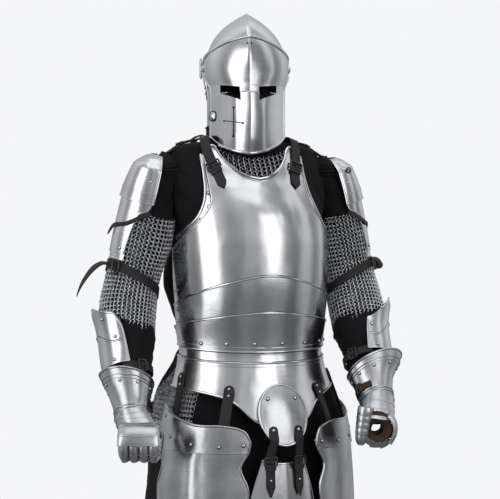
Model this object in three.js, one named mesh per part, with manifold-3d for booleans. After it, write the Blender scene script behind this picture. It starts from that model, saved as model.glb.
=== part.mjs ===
// Suit of plate armour as it is worn: visored helmet, cuirass, fauld, tassets, arm and hand
// defences, mail and straps over a black arming coat. The hollow pose is kept, with no wearer.
//
// Millimetres, +Z up. The origin is at the base of the neck, midway between the shoulders.
// -Y is the wearer's front and +X the wearer's left.

import * as THREE from 'three';
import { mergeVertices } from 'three/addons/utils/BufferGeometryUtils.js';
import Module from 'manifold-3d';

const wasm = await Module();
wasm.setup();

// ---------------------------------------------------------------- driving dimensions

const plateThickness = 1.4;
const clothThickness = 2.4;
const mailThickness = 2.8;
const strapThickness = 2.4;
const seamGap = 0.3;

const helmetPivotHeight = 165;      // visor hinge above the origin
const skullRadius = 123.4;            // hinge axis to the top of the skull
const skullHalfWidth = 89.4;
const headTurn = -13;               // degrees about Z, towards the wearer's right
const headShift = -9;               // the neck leans to the wearer's right

const shoulderHalfSpan = 203;
const shoulderDrop = 65;            // origin down to the shoulder joints
const sideLean = -14;               // how far the shoulders lean to the wearer's right
const hipTurn = 6;                  // degrees the hips are turned against the chest

const coatTop = 1;
const collarTop = 32;
const waistHeight = -470;           // narrowest place of the cuirass
const coatHem = -905;
const tassetTip = -860;
const fistBreadth = 84;

const leatherBlack = { color: 0x1b1c20, roughness: 0.55, metalness: 0 };
const leatherBrown = { color: 0x3a2a20, roughness: 0.6, metalness: 0 };
const clothBlack = { color: 0x101114, roughness: 0.95, metalness: 0 };
const polishedSteel = { color: 0xc9c8c4, roughness: 0.18, metalness: 1 };
const mailSteel = { color: 0x8d8f93, roughness: 0.35, metalness: 1 };

// ---------------------------------------------------------------- small tools

const degrees = Math.PI / 180;
const sides = { R: -1, L: 1 };
const vec = (x, y, z) => new THREE.Vector3(x, y, z);
const lerp = (a, b, t) => a + (b - a) * t;
const clamp = (x, low, high) => Math.min(high, Math.max(low, x));
const smooth = (x) => { const t = clamp(x, 0, 1); return t * t * (3 - 2 * t); };
const steps = (count, from = 0, to = 1) =>
  Array.from({ length: count + 1 }, (_, i) => lerp(from, to, i / count));

// A smooth curve through [position, value, value, ...] stations, in rising or falling order.
function profile(stations) {
  const sorted = [...stations].sort((a, b) => a[0] - b[0]);
  const slope = (i, k) => {
    const low = sorted[Math.max(0, i - 1)];
    const high = sorted[Math.min(sorted.length - 1, i + 1)];
    return (high[k] - low[k]) / (high[0] - low[0]);
  };
  return (position) => {
    const x = clamp(position, sorted[0][0], sorted.at(-1)[0]);
    let i = 0;
    while (i < sorted.length - 2 && x > sorted[i + 1][0]) i += 1;
    const [low, high] = [sorted[i], sorted[i + 1]];
    const span = high[0] - low[0];
    const t = (x - low[0]) / span;
    return low.slice(1).map((value, n) => {
      const k = n + 1;
      return value * (2 * t ** 3 - 3 * t ** 2 + 1) + slope(i, k) * span * (t ** 3 - 2 * t ** 2 + t)
        + high[k] * (3 * t ** 2 - 2 * t ** 3) + slope(i + 1, k) * span * (t ** 3 - t ** 2);
    });
  };
}
const curve = (...stations) => { const f = profile(stations); return (x) => f(x)[0]; };

// The middle skin normals of a grid of points, each row running along the sheet's width.
function gridNormals(rows, closed) {
  return rows.map((row, j) => row.map((_, i) => {
    const n = row.length;
    const before = row[closed ? (i - 1 + n) % n : Math.max(0, i - 1)];
    const after = row[closed ? (i + 1) % n : Math.min(n - 1, i + 1)];
    const below = rows[Math.max(0, j - 1)][i];
    const above = rows[Math.min(rows.length - 1, j + 1)][i];
    return after.clone().sub(before).cross(above.clone().sub(below)).normalize();
  }));
}

// A closed thin wall: the grid is its outer face, and the thickness goes towards `inside`.
// A closed grid runs round a tube; `pole` is the point that closes the last row to a dome.
function wall(grid, thickness, inside, { closed = false, pole = null } = {}) {
  let rows = grid;
  const middleRow = Math.floor(rows.length / 2);
  const middle = Math.floor(rows[0].length / 2);
  const facing = gridNormals(rows, closed)[middleRow][middle]
    .dot(rows[middleRow][middle].clone().sub(inside));
  if (facing < 0) rows = rows.map((row) => [...row].reverse());
  const normals = gridNormals(rows, closed);
  const width = rows[0].length;
  const height = rows.length;
  const outer = rows.flat();
  const inner = outer.map((p, n) =>
    p.clone().addScaledVector(normals[Math.floor(n / width)][n % width], -thickness));
  const points = [...outer, ...inner];
  const depth = outer.length;
  const index = [];
  const quad = (a, b, c, d) => index.push(a, b, c, a, c, d);
  const at = (j, i) => j * width + (i % width);
  const last = closed ? width : width - 1;
  for (let j = 0; j < height - 1; j += 1) {
    for (let i = 0; i < last; i += 1) {
      const [a, b, c, d] = [at(j, i), at(j, i + 1), at(j + 1, i + 1), at(j + 1, i)];
      quad(a, b, c, d);
      quad(depth + d, depth + c, depth + b, depth + a);
    }
  }
  for (let i = 0; i < last; i += 1) {
    quad(at(0, i + 1), at(0, i), depth + at(0, i), depth + at(0, i + 1));
    const [a, b] = [at(height - 1, i), at(height - 1, i + 1)];
    if (!pole) quad(a, b, depth + b, depth + a);
  }
  if (pole) {
    const down = inside.clone().sub(pole).normalize();
    points.push(pole, pole.clone().addScaledVector(down, thickness));
    for (let i = 0; i < last; i += 1) {
      const [a, b] = [at(height - 1, i), at(height - 1, i + 1)];
      index.push(a, b, points.length - 2, depth + b, depth + a, points.length - 1);
    }
  }
  if (!closed) {
    for (let j = 0; j < height - 1; j += 1) {
      quad(at(j, 0), at(j + 1, 0), depth + at(j + 1, 0), depth + at(j, 0));
      const [a, b] = [at(j, width - 1), at(j + 1, width - 1)];
      quad(b, a, depth + a, depth + b);
    }
  }
  return geometryOf(points, index);
}

// A solid filling a closed grid, capped at both ends. It only ever cuts other pieces.
function filled(grid, inside) {
  let rows = grid;
  const facing = gridNormals(rows, true)[1][0].dot(rows[1][0].clone().sub(inside));
  if (facing < 0) rows = rows.map((row) => [...row].reverse());
  const width = rows[0].length;
  const points = rows.flat();
  const index = [];
  for (let j = 0; j < rows.length - 1; j += 1) {
    for (let i = 0; i < width; i += 1) {
      const [a, b] = [j * width + i, j * width + ((i + 1) % width)];
      index.push(a, b, b + width, a, b + width, a + width);
    }
  }
  for (const [row, flip] of [[0, true], [rows.length - 1, false]]) {
    const centre = rows[row].reduce((sum, p) => sum.add(p), vec(0, 0, 0)).divideScalar(width);
    points.push(centre);
    for (let i = 0; i < width; i += 1) {
      const [a, b] = [row * width + i, row * width + ((i + 1) % width)];
      index.push(...(flip ? [b, a] : [a, b]), points.length - 1);
    }
  }
  return geometryOf(points, index);
}

function geometryOf(points, index) {
  const geometry = new THREE.BufferGeometry().setFromPoints(points);
  geometry.setIndex(index);
  return geometry;
}

function toSolid(geometry) {
  const bare = geometry.clone();
  for (const name of Object.keys(bare.attributes)) {
    if (name !== 'position') bare.deleteAttribute(name);
  }
  const merged = mergeVertices(bare, 1e-4);
  return new wasm.Manifold(new wasm.Mesh({
    numProp: 3,
    vertProperties: new Float32Array(merged.attributes.position.array),
    triVerts: new Uint32Array(merged.index.array),
  }));
}

function toGeometry(solid) {
  const mesh = solid.getMesh();
  const geometry = new THREE.BufferGeometry();
  geometry.setAttribute('position', new THREE.BufferAttribute(mesh.vertProperties, 3));
  geometry.setIndex(new THREE.BufferAttribute(mesh.triVerts, 1));
  return geometry;
}

const cut = (geometry, ...tools) =>
  toGeometry(tools.reduce((solid, tool) => solid.subtract(toSolid(tool)), toSolid(geometry)));
const join = (geometry, ...others) =>
  toGeometry(others.reduce((solid, other) => solid.add(toSolid(other)), toSolid(geometry)));

// Frame of three axes at a place, as a matrix that sets a finished geometry there.
const placeAt = (origin, x, y, z) => new THREE.Matrix4().makeBasis(x, y, z).setPosition(origin);

const armour = new THREE.Group();
function add(name, geometry, finish, parent = armour) {
  const mesh = new THREE.Mesh(geometry, new THREE.MeshStandardMaterial(finish));
  mesh.name = name;
  parent.add(mesh);
  return mesh;
}

// ---------------------------------------------------------------- the trunk's two surfaces

// Half width, front depth and back depth of the arming coat's outer face at each height.
const coatSections = profile([
  [coatTop, 92, 56, 76], [-4, 126, 57, 80], [-13, 156, 58, 86], [-31, 176, 62, 92],
  [-50, 185, 70, 97], [-80, 187, 87, 107], [-110, 184, 102, 113], [-150, 175, 120, 118],
  [-190, 166, 130, 118], [-230, 163, 139, 116], [-310, 165, 138, 108], [-380, 156, 128, 101],
  [-440, 148, 114, 98], [-480, 149, 112, 101], [-540, 168, 124, 118], [-620, 188, 138, 140],
  [-736, 200, 152, 160], [coatHem, 216, 172, 180],
]);
// How far the loose cloth swells out behind the edges of the plates.
const coatFullness = curve(
  [coatTop, 0], [-110, 0], [-150, 6], [-230, 24], [-318, 38], [-387, 24], [-430, 8],
  [-455, 10], [-472, 22], [-502, 30], [-542, 36], [-578, 34], [-736, 18], [coatHem, 10],
);
// Half width and front depth of the cuirass's own face.
const plateSections = profile([
  [-5, 172, 60], [-20, 172, 66], [-50, 174, 86], [-80, 175, 102], [-110, 176, 120],
  [-150, 178, 141], [-190, 178, 152], [-230, 178, 159], [-310, 176, 160], [-380, 170, 148],
  [-440, 163, 134], [waistHeight, 161, 130], [-500, 166, 136], [-560, 188, 158],
  [-620, 205, 178], [-700, 216, 188], [coatHem, 226, 196],
]);
const leanAt = (z) => sideLean * smooth((z + 220) / 200);
const turnAt = (z) => hipTurn * smooth((waistHeight - z) / 80) * degrees;

function placeOnTrunk(x, y, z) {
  const turn = turnAt(z);
  return vec(x * Math.cos(turn) - y * Math.sin(turn) + leanAt(z),
    x * Math.sin(turn) + y * Math.cos(turn), z);
}

// A point of a cuirass plate; `angle` is in degrees from the front towards the wearer's left.
function platePoint(angle, z, offset = 0) {
  const [halfWidth, front] = plateSections(z);
  const theta = angle * degrees;
  return placeOnTrunk((halfWidth + offset) * Math.sin(theta), -(front + offset) * Math.cos(theta), z);
}

const backSquareness = 0.8;         // below 1 the back is boxier than an ellipse
function coatPoint(angle, z, offset = 0) {
  const [halfWidth, front, back] = coatSections(z);
  const theta = angle * degrees;
  const [s, c] = [Math.sin(theta), Math.cos(theta)];
  if (c >= 0) return placeOnTrunk((halfWidth + offset) * s, -(front + offset) * c, z);
  const behind = (Math.abs(((angle + 360) % 360) - 180) - 90) / -62;
  const swell = coatFullness(z) * Math.sin(Math.PI * clamp(behind, 0, 1)) ** 2 + offset;
  return placeOnTrunk(
    halfWidth * Math.sign(s) * Math.abs(s) ** backSquareness + swell * s,
    back * Math.abs(c) ** backSquareness - swell * c, z,
  );
}

const trunkAxis = (z) => vec(leanAt(z), 0, z);

// The coat's facets, which the mail on it and the solids that trim its neighbours share.
const coatStep = 180 / 10;
const bodyHeights = [waistHeight, -430, -370, -300, -220, -150, -90, -50, -26, -11, -4, coatTop];
const skirtHeights = [coatHem, -740, -640, -570, -520, -490, waistHeight - seamGap];
function coatGrid(heights, offset, from, to) {
  const angles = steps(Math.round((to - from) / coatStep), from, to);
  return heights.map((z) => angles.map((angle) => coatPoint(angle, z, offset)));
}
const coatCore = (heights, offset) =>
  filled(coatGrid(heights, offset, -90, 270 - coatStep), trunkAxis(heights[3]));

// A plate on the cuirass between two edges given as heights over the angle.
function cuirassPlate({ low, high, halfAngle, rows, columns, offset }) {
  const grid = rows.map((v) => steps(columns, -1, 1).map((u) => {
    const z = lerp(low(u), high(u), v);
    return platePoint(u * halfAngle(z), z, offset);
  }));
  return wall(grid, plateThickness, trunkAxis(low(0)));
}

// The space inside and just outside the cuirass, kept clear of the sleeves.
function cuirassCore() {
  const heights = [-520, -470, -400, -300, -200, -150, -100];
  const ring = (z) => [
    ...steps(14, -94, 94).map((angle) => platePoint(angle, z, 2.4)),
    ...steps(6, 110, 250).map((angle) => coatPoint(angle, z, -30)),
  ];
  return filled(heights.map(ring), trunkAxis(-300));
}

// ---------------------------------------------------------------- helmet

const head = new THREE.Group();
head.rotation.z = headTurn * degrees;
head.position.set(headShift, 3, 0);
armour.add(head);

// The skull is turned about the hinge axis: its radius falls off towards the hinges.
function turnedRadius(x, radius, halfWidth, keel) {
  const q = Math.min(1, Math.abs(x) / halfWidth);
  return radius * (1 - (keel * q + (1 - keel) * q * q)) ** 0.45;
}

// Distance from the helmet's upright axis to a surface y = depth(x) along one direction.
function reach(angle, depth) {
  const [s, c] = [Math.abs(Math.sin(angle * degrees)), Math.abs(Math.cos(angle * degrees))];
  let low = 0;
  let high = 260;
  for (let i = 0; i < 40; i += 1) {
    const middle = (low + high) / 2;
    if (middle * c < depth(middle * s)) low = middle;
    else high = middle;
  }
  return (low + high) / 2;
}

const skullKeel = 0.75;
function skullPoint(angle, z) {
  const rise = z - helmetPivotHeight;
  const wallDrop = 30 + 17 * Math.cos(angle * degrees);   // below the hinge the sides run straight
  const level = rise > 0 ? rise : -wallDrop * Math.tanh(-rise / wallDrop);
  const nape = 1 + 0.1 * smooth(-Math.cos(angle * degrees)) * smooth(1 - rise / 90);
  const r = nape * reach(angle, (x) => {
    const turned = turnedRadius(x, skullRadius, skullHalfWidth, skullKeel);
    return Math.sqrt(Math.max(0, turned ** 2 - level ** 2));
  });
  return vec(r * Math.sin(angle * degrees), -r * Math.cos(angle * degrees), z);
}

const skullTop = helmetPivotHeight + skullRadius;
const skullRim = (angle) => 35 - 32 * smooth((Math.abs(angle) - 105) / 60);
const skullCrown = skullTop - 2.5;
function skull() {
  const angles = steps(24, -180, 180).slice(0, -1);
  const heights = [0, 0.25, 0.5, 0.66, 0.8, 0.9, 0.96, 1];
  const grid = heights.map((v) =>
    angles.map((angle) => skullPoint(angle, lerp(skullRim(angle), skullCrown, v))));
  const shell = wall(grid, plateThickness, vec(0, 0, helmetPivotHeight), {
    closed: true, pole: vec(0, 0, skullTop),
  });
  // Face opening, rounded at the brow and open to the throat.
  const [half, brow, throat, corner] = [71, 202, -20, 40];
  const outline = new THREE.Shape();
  outline.moveTo(-half, throat);
  outline.lineTo(half, throat);
  outline.lineTo(half, brow - corner);
  outline.quadraticCurveTo(half, brow, 0, brow);
  outline.quadraticCurveTo(-half, brow, -half, brow - corner);
  const opening = new THREE.ExtrudeGeometry(outline, { depth: 200, bevelEnabled: false, curveSegments: 6 });
  opening.rotateX(90 * degrees);
  return cut(shell, opening);
}

// The visor follows the same turned form 3.5 mm further out; below the eyes it stands forward.
const visorRadius = 129.2;
const visorHalfWidth = 95.8;
const sightHeight = 101;
const visorKeel = (z) => lerp(0.45, 0.75, smooth((z - 110) / 90));
const visorForward = curve([-32, 1.12], [0, 1.2], [50, 1.245], [90, 1.215], [sightHeight, 1.2]);
function visorPoint(angle, z) {
  const rise = z - helmetPivotHeight;
  const level = rise > 0 ? rise : Math.max(rise, -45);
  const lower = smooth((sightHeight - z) / 3);
  const brow = 1 + 0.07 * smooth((150 - z) / 45);
  const forward = lerp(brow, visorForward(z), lower);
  const r = reach(angle, (x) => {
    const turned = turnedRadius(x, visorRadius, visorHalfWidth, visorKeel(z));
    const depth = Math.sqrt(Math.max(0, turned ** 2 - level ** 2));
    return depth * lerp(1, forward, smooth(1.5 - x / 55));
  });
  return vec(r * Math.sin(angle * degrees), -r * Math.cos(angle * degrees), z);
}

const visorTop = (u) => 221 - 34 * Math.abs(u) ** 1.7;
const visorFoot = (u) => -33 + 42 * Math.abs(u) ** 1.35;
// The sides end at the cheeks and spread into a round lobe about each hinge.
const visorSide = (z) => 61 + 41 * Math.exp(-(((z - helmetPivotHeight) / 27) ** 2));
function visor() {
  const heights = [0, 0.18, 0.36, 0.515, 0.535, 0.62, 0.7, 0.78, 0.87, 1];
  const grid = heights.map((v) => steps(16, -1, 1).map((u) => {
    const z = lerp(visorFoot(u), visorTop(u), v);
    return visorPoint(u * visorSide(z), z);
  }));
  const plate = wall(grid, plateThickness, vec(0, 0, 90));
  return cut(plate, ...sights(), ...breaths());
}

const through = (shape) => {
  const tool = new THREE.ExtrudeGeometry(shape, { depth: 120, bevelEnabled: false, curveSegments: 2 });
  tool.rotateX(90 * degrees);
  tool.translate(0, -50, 0);
  return tool;
};

function sights() {
  return Object.values(sides).map((side) => {
    const corners = [[21, 112], [20, 81], [61, 100], [62, 119]];
    const points = corners.map(([x, z]) => new THREE.Vector2(side * x, z));
    return through(new THREE.Shape(side > 0 ? points : points.reverse()));
  });
}

// A pierced cross of four slots with round ends, on the wearer's right.
function breaths() {
  const centre = new THREE.Vector2(-35, 35);
  const arms = [[0, 31], [0, -31], [-19, 4], [19, -4]].map(([x, z]) => new THREE.Vector2(x, z));
  return arms.flatMap((arm) => {
    const across = new THREE.Vector2(-arm.y, arm.x).normalize();
    const end = centre.clone().add(arm);
    const corners = [[centre, -1], [end, -1], [end, 1], [centre, 1]]
      .map(([p, side]) => p.clone().addScaledVector(across, side));
    const hole = new THREE.Shape();
    hole.absarc(end.x, end.y, 2.5, 0, 2 * Math.PI);
    return [through(new THREE.Shape(corners)), through(hole)];
  });
}

const turnedPiece = (profilePoints, segments = 10) =>
  new THREE.LatheGeometry(profilePoints.map(([r, h]) => new THREE.Vector2(r, h)), segments);

function helmet() {
  add('helmet_skull', skull(), polishedSteel, head);
  add('visor', visor(), polishedSteel, head);
  for (const [name, side] of Object.entries(sides)) {
    // Domed hinge pin, standing on the lobe.
    const pin = turnedPiece([[0, 0], [9, 0], [9, 2], [5, 4.6], [0, 5.4]]);
    pin.rotateZ(-side * 90 * degrees);
    pin.translate(side * (visorHalfWidth + seamGap), 0, helmetPivotHeight);
    add(`visor_pin_${name}`, pin, polishedSteel, head);
  }
  // Spring stud that catches the visor at the wearer's right cheek.
  const place = visorPoint(-50.5, 53);
  const out = vec(-0.84, -0.54, 0);
  const stud = turnedPiece([[0, 0], [9, 0], [9, 1.6], [4, 3.4], [0, 4.2]]);
  const along = vec(0, 0, 1);
  stud.applyMatrix4(placeAt(place.addScaledVector(out, 1.9), along.clone().cross(out).negate(), out, along));
  add('visor_latch', stud, polishedSteel, head);
}

// ---------------------------------------------------------------- arms

// The arm's line runs from shoulder to wrist; s is its arc length as a share of the whole.
const armJoints = {
  R: { elbow: vec(-283, 66, -372), wrist: vec(-288, -92, -596), fist: vec(-283, -139, -645) },
  L: { elbow: vec(261, 34, -349), wrist: vec(243, -157, -572), fist: vec(225, -194, -623) },
};
const elbowPull = 0.9;
const arms = Object.fromEntries(Object.entries(sides).map(([name, side]) => {
  const { elbow, wrist, fist } = armJoints[name];
  const shoulder = vec(side * shoulderHalfSpan + leanAt(-shoulderDrop), 0, -shoulderDrop);
  const line = new THREE.CubicBezierCurve3(shoulder, shoulder.clone().lerp(elbow, elbowPull),
    wrist.clone().lerp(elbow, elbowPull), wrist);
  return [name, { name, side, line, fist, wrist }];
}));

const sleeveRadius = curve([0, 43], [0.09, 51], [0.25, 52.5], [0.4, 51], [0.54, 57], [0.68, 56],
  [0.8, 51], [0.88, 42], [1, 33]);
const capHeight = 32;               // the shoulder cap above the shoulder joint

// A point about the arm: angle 0 is outward and 90 forward, in degrees. Below s = 0 the
// surface closes over the shoulder as a cap, down to its pole at s = -1.
function armPoint(arm, s, angle, offset = 0, radius = sleeveRadius) {
  const place = clamp(s, 0, 1);
  const along = arm.line.getTangentAt(place);
  const outward = vec(arm.side, 0, 0).projectOnPlane(along).normalize();
  const forward = along.clone().cross(outward).multiplyScalar(arm.side);
  const cap = s < 0 ? -s * 90 * degrees : 0;
  const r = (radius(place) + offset) * Math.cos(cap);
  return arm.line.getPointAt(place)
    .addScaledVector(outward, r * Math.cos(angle * degrees))
    .addScaledVector(forward, r * Math.sin(angle * degrees))
    .addScaledVector(along, -(capHeight + offset) * Math.sin(cap));
}

const armPole = (arm, offset) =>
  arm.line.getPointAt(0).addScaledVector(arm.line.getTangentAt(0), -(capHeight + offset));

function armTube(arm, stations, offset, columns, radius = sleeveRadius) {
  const angles = steps(columns, 0, 360).slice(0, -1);
  return stations.map((s) => angles.map((angle) => armPoint(arm, s, angle, offset, radius)));
}

// A plate over part of the arm; its angles and offset may change along it.
function armPlate(arm, { from, to, rows, columns, front, back, offset, radius = sleeveRadius }) {
  const grid = steps(rows, to, from).map((s) => steps(columns).map((u) =>
    armPoint(arm, s, lerp(back(s), front(s), u), offset(s), radius)));
  return wall(grid, plateThickness, arm.line.getPointAt(clamp((from + to) / 2, 0, 1)));
}

// ---------------------------------------------------------------- arming coat

// Beyond both ends of each sleeve, so that the solid cuts clean through its neighbours.
const sleeveStations = [1, 0.88, 0.76, 0.64, 0.54, 0.44, 0.3, 0.15, 0, -0.4, -0.8];
const sleeveColumns = 11;
const armCore = (arm, offset) =>
  filled(armTube(arm, sleeveStations, offset, sleeveColumns), arm.line.getPointAt(0.5));

const halfSpace = (middleY) => new THREE.BoxGeometry(600, 400, 1100).translate(0, middleY, -500);

function armingCoat() {
  const armholes = Object.values(arms).map((arm) => armCore(arm, seamGap));
  for (const [name, side, from] of [['front', -1, -90], ['back', 1, 90]]) {
    const otherHalf = halfSpace(-side * (200 - seamGap / 2));
    const body = wall(coatGrid(bodyHeights, 0, from, from + 180), clothThickness, trunkAxis(-250));
    add(`coat_${name}`, cut(body, otherHalf, ...armholes), clothBlack);
    const skirt = wall(coatGrid(skirtHeights, 0, from, from + 180), clothThickness, trunkAxis(-600));
    otherHalf.rotateZ(hipTurn * degrees);
    add(`coat_skirt_${name}`, cut(skirt, otherHalf), clothBlack);
  }
  for (const arm of Object.values(arms)) {
    const shell = wall(armTube(arm, sleeveStations, 0, sleeveColumns), clothThickness,
      arm.line.getPointAt(0.5), { closed: true, pole: armPole(arm, 0) });
    add(`coat_sleeve_${arm.name}`,
      cut(shell, coatCore([-600, ...bodyHeights], seamGap), cuirassCore()), clothBlack);
  }
  const collarSections = profile([[coatTop, 86, 58, 74], [collarTop, 86, 62, 79]]);
  const collar = steps(1, coatTop + seamGap, collarTop).map((z) =>
    steps(16, 0, 360).slice(0, -1).map((angle) => {
      const [halfWidth, front, back] = collarSections(z);
      const c = Math.cos(angle * degrees);
      const droop = c > 0 ? 16 * c * c * (z - coatTop) / (collarTop - coatTop) : 0;
      return vec(halfWidth * Math.sin(angle * degrees) + leanAt(z), -(c > 0 ? front : back) * c, z - droop);
    }));
  add('coat_collar', wall(collar, clothThickness, trunkAxis(0), { closed: true }), clothBlack);
}

// ---------------------------------------------------------------- mail

const mailLift = 0.6;               // clear of the cloth that it is laced to

function mail() {
  const lift = mailLift + mailThickness;
  const [bodyCore, skirtCore] = [bodyHeights, skirtHeights].map((heights) => coatCore(heights, seamGap));
  const bib = steps(3).map((v) => steps(6, -1, 1).map((u) => {
    const top = -14 - 26 * (1 - Math.abs(u) ** 1.4);
    return coatPoint(u * 31, lerp(-118, top, v), lift);
  }));
  add('mail_collar', cut(wall(bib, mailThickness, trunkAxis(-120)), bodyCore), mailSteel);

  // At the hips the mail reaches further back below the waist.
  for (const [name, side] of Object.entries(sides)) {
    const hip = [-640, -570, -520, -490, -430, -372].map((z) => steps(4).map((u) => {
      const rear = lerp(98, 110, smooth((-480 - z) / 90));
      return coatPoint(side * lerp(60, rear, u), z, lift);
    }));
    const patch = wall(hip, mailThickness, trunkAxis(-500));
    add(`mail_hip_${name}`, cut(patch, bodyCore, skirtCore), mailSteel);

    const arm = arms[name];
    const hem = { R: 0.035, L: 0.03 }[name];      // the hem hangs lower on the inside of the arm
    const end = { R: 0.635, L: 0.61 }[name];
    const sleeve = steps(4, 1, 0).map((v) => steps(sleeveColumns, 0, 360).slice(0, -1).map((angle) =>
      armPoint(arm, lerp(0.175, end - hem * Math.cos(angle * degrees), v), angle, lift)));
    const tube = wall(sleeve, mailThickness, arm.line.getPointAt(0.4), { closed: true });
    add(`mail_sleeve_${name}`, cut(tube, armCore(arm, seamGap), coatCore([-600, ...bodyHeights], seamGap),
      cuirassCore()), mailSteel);
  }
}

// ---------------------------------------------------------------- cuirass and hips

function cuirass() {
  // Half the breastplate's width in degrees: the armholes narrow it above the chest.
  const breastAngle = (z) => {
    const rise = clamp((-130 - z) / 106, 0, 1) ** 1.5;
    return 92 - 53 * (1 - rise) ** 0.75;
  };
  const neckline = curve([0, -86], [0.21, -80], [0.43, -65], [0.62, -40], [0.74, -16], [0.86, -14],
    [1, -30]);
  add('breastplate', cuirassPlate({
    low: () => -384, high: (u) => neckline(Math.abs(u)), halfAngle: breastAngle,
    rows: [0, 0.2, 0.36, 0.42, 0.46, 0.5, 0.55, 0.64, 0.78, 0.9, 1], columns: 14, offset: 0,
  }), polishedSteel);

  const gussetOuter = curve([-30, 43], [-80, 42.5], [-132, 46], [-169, 55], [-195, 70], [-206, 80],
    [-213, 90]);
  for (const [name, side] of Object.entries(sides)) {
    const strip = steps(11).map((v) => {
      const high = lerp(-213, -32, v);
      const low = high - 46 * (1 - v) ** 1.5;
      return steps(3).map((u) => platePoint(
        side * lerp(Math.min(breastAngle(low) - 5, 86), gussetOuter(high), u), lerp(low, high, u),
        lerp(-6.3, -4.5, v),
      ));
    });
    add(`gusset_${name}`, wall(strip, plateThickness, trunkAxis(-150)), polishedSteel);
  }

  // The belly lames overlap upwards, the waist and hip lames slide under and over each other.
  const round = () => 92;
  const layer = plateThickness + 1;
  add('belly_lame', cuirassPlate({
    low: () => -412, high: (u) => -297 - 66 * Math.abs(u) ** 0.75, halfAngle: round,
    rows: steps(4), columns: 14, offset: layer,
  }), polishedSteel);
  add('plackart', cuirassPlate({
    low: (u) => -461 + 12 * u * u, high: (u) => -376 - 32 * Math.abs(u) ** 0.8, halfAngle: round,
    rows: [0, 0.3, 1], columns: 14, offset: 2 * layer,
  }), polishedSteel);
  add('waist_lame', cuirassPlate({
    low: (u) => -496 + 10 * u * u, high: (u) => -446 + 12 * u * u, halfAngle: round,
    rows: steps(2), columns: 14, offset: layer,
  }), polishedSteel);
  const fauldHem = curve([0, -628], [0.18, -604], [0.3, -571], [0.43, -554], [0.65, -543], [1, -538]);
  add('fauld', cuirassPlate({
    low: (u) => fauldHem(Math.abs(u)), high: (u) => -485 + 12 * u * u, halfAngle: round,
    rows: [0, 0.4, 0.75, 1], columns: 14, offset: 2 * layer + 0.4,
  }), polishedSteel);
}

const discHeight = -592;
const discOffset = 9;
function frontPieces() {
  // Oval plate before the belly, dished and leaning with the fauld.
  const dish = turnedPiece([[0, 8 - plateThickness], [40, 5.5 - plateThickness], [67, -plateThickness],
    [67, 0], [40, 5.5], [0, 8]], 20);
  dish.scale(56 / 67, 1, 1);
  const low = platePoint(0, discHeight - 60, 0);
  const high = platePoint(0, discHeight + 60, 0);
  const up = high.sub(low).normalize();
  const right = placeOnTrunk(1, 0, discHeight).sub(placeOnTrunk(0, 0, discHeight)).normalize();
  const out = right.clone().cross(up).normalize();
  dish.applyMatrix4(placeAt(platePoint(0, discHeight, discOffset), right, out, up.negate()));
  add('fauld_disc', dish, polishedSteel);

  const codTop = (u) => -694 + 8 * u * u;
  const codWidth = curve([-850, 3], [-842, 10], [-820, 17], [-780, 20], [-740, 17.5], [-690, 13]);
  const cod = [0, 0.05, 0.2, 0.5, 0.8, 1].map((v) => steps(6, -1, 1).map((u) => {
    const z = lerp(-850, codTop(u), v);
    return platePoint(u * codWidth(z), z, -4 * Math.abs(u) ** 2);
  }));
  add('cod_plate', wall(cod, plateThickness, trunkAxis(-760)), polishedSteel);
}

const tassetMiddle = 52;            // degrees round the hip from the front
const tassetLift = 13;
const tassetSwell = 9;
function tassetPoint(side, u, z, lift, halfAngle) {
  return platePoint(side * (tassetMiddle + u * halfAngle), z, lift + tassetSwell * (1 - u * u));
}

function tassets() {
  const crown = curve([-1, -652], [-0.86, -624], [-0.5, -613], [0, -612], [0.5, -597], [1, -578]);
  const bodyHalf = curve([tassetTip, 4], [-854, 13], [-840, 20], [-800, 28], [-745, 30.5], [-700, 26.5],
    [-665, 31], [-640, 32]);
  for (const [name, side] of Object.entries(sides)) {
    const upper = steps(2).map((v) => steps(8, -1, 1).map((u) => {
      const z = lerp(-668, crown(u), v);
      return tassetPoint(side, u, z, tassetLift, 33);
    }));
    add(`tasset_upper_${name}`, wall(upper, plateThickness, trunkAxis(-640)), polishedSteel);
    const main = [0, 0.04, 0.12, 0.3, 0.52, 0.7, 0.86, 1].map((v) => steps(8, -1, 1).map((u) => {
      const z = lerp(tassetTip, -646, v);
      return tassetPoint(side, u, z, tassetLift - plateThickness - 0.8, bodyHalf(z));
    }));
    add(`tasset_${name}`, wall(main, plateThickness, trunkAxis(-740)), polishedSteel);
  }
}

// ---------------------------------------------------------------- arm and hand defences

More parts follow.
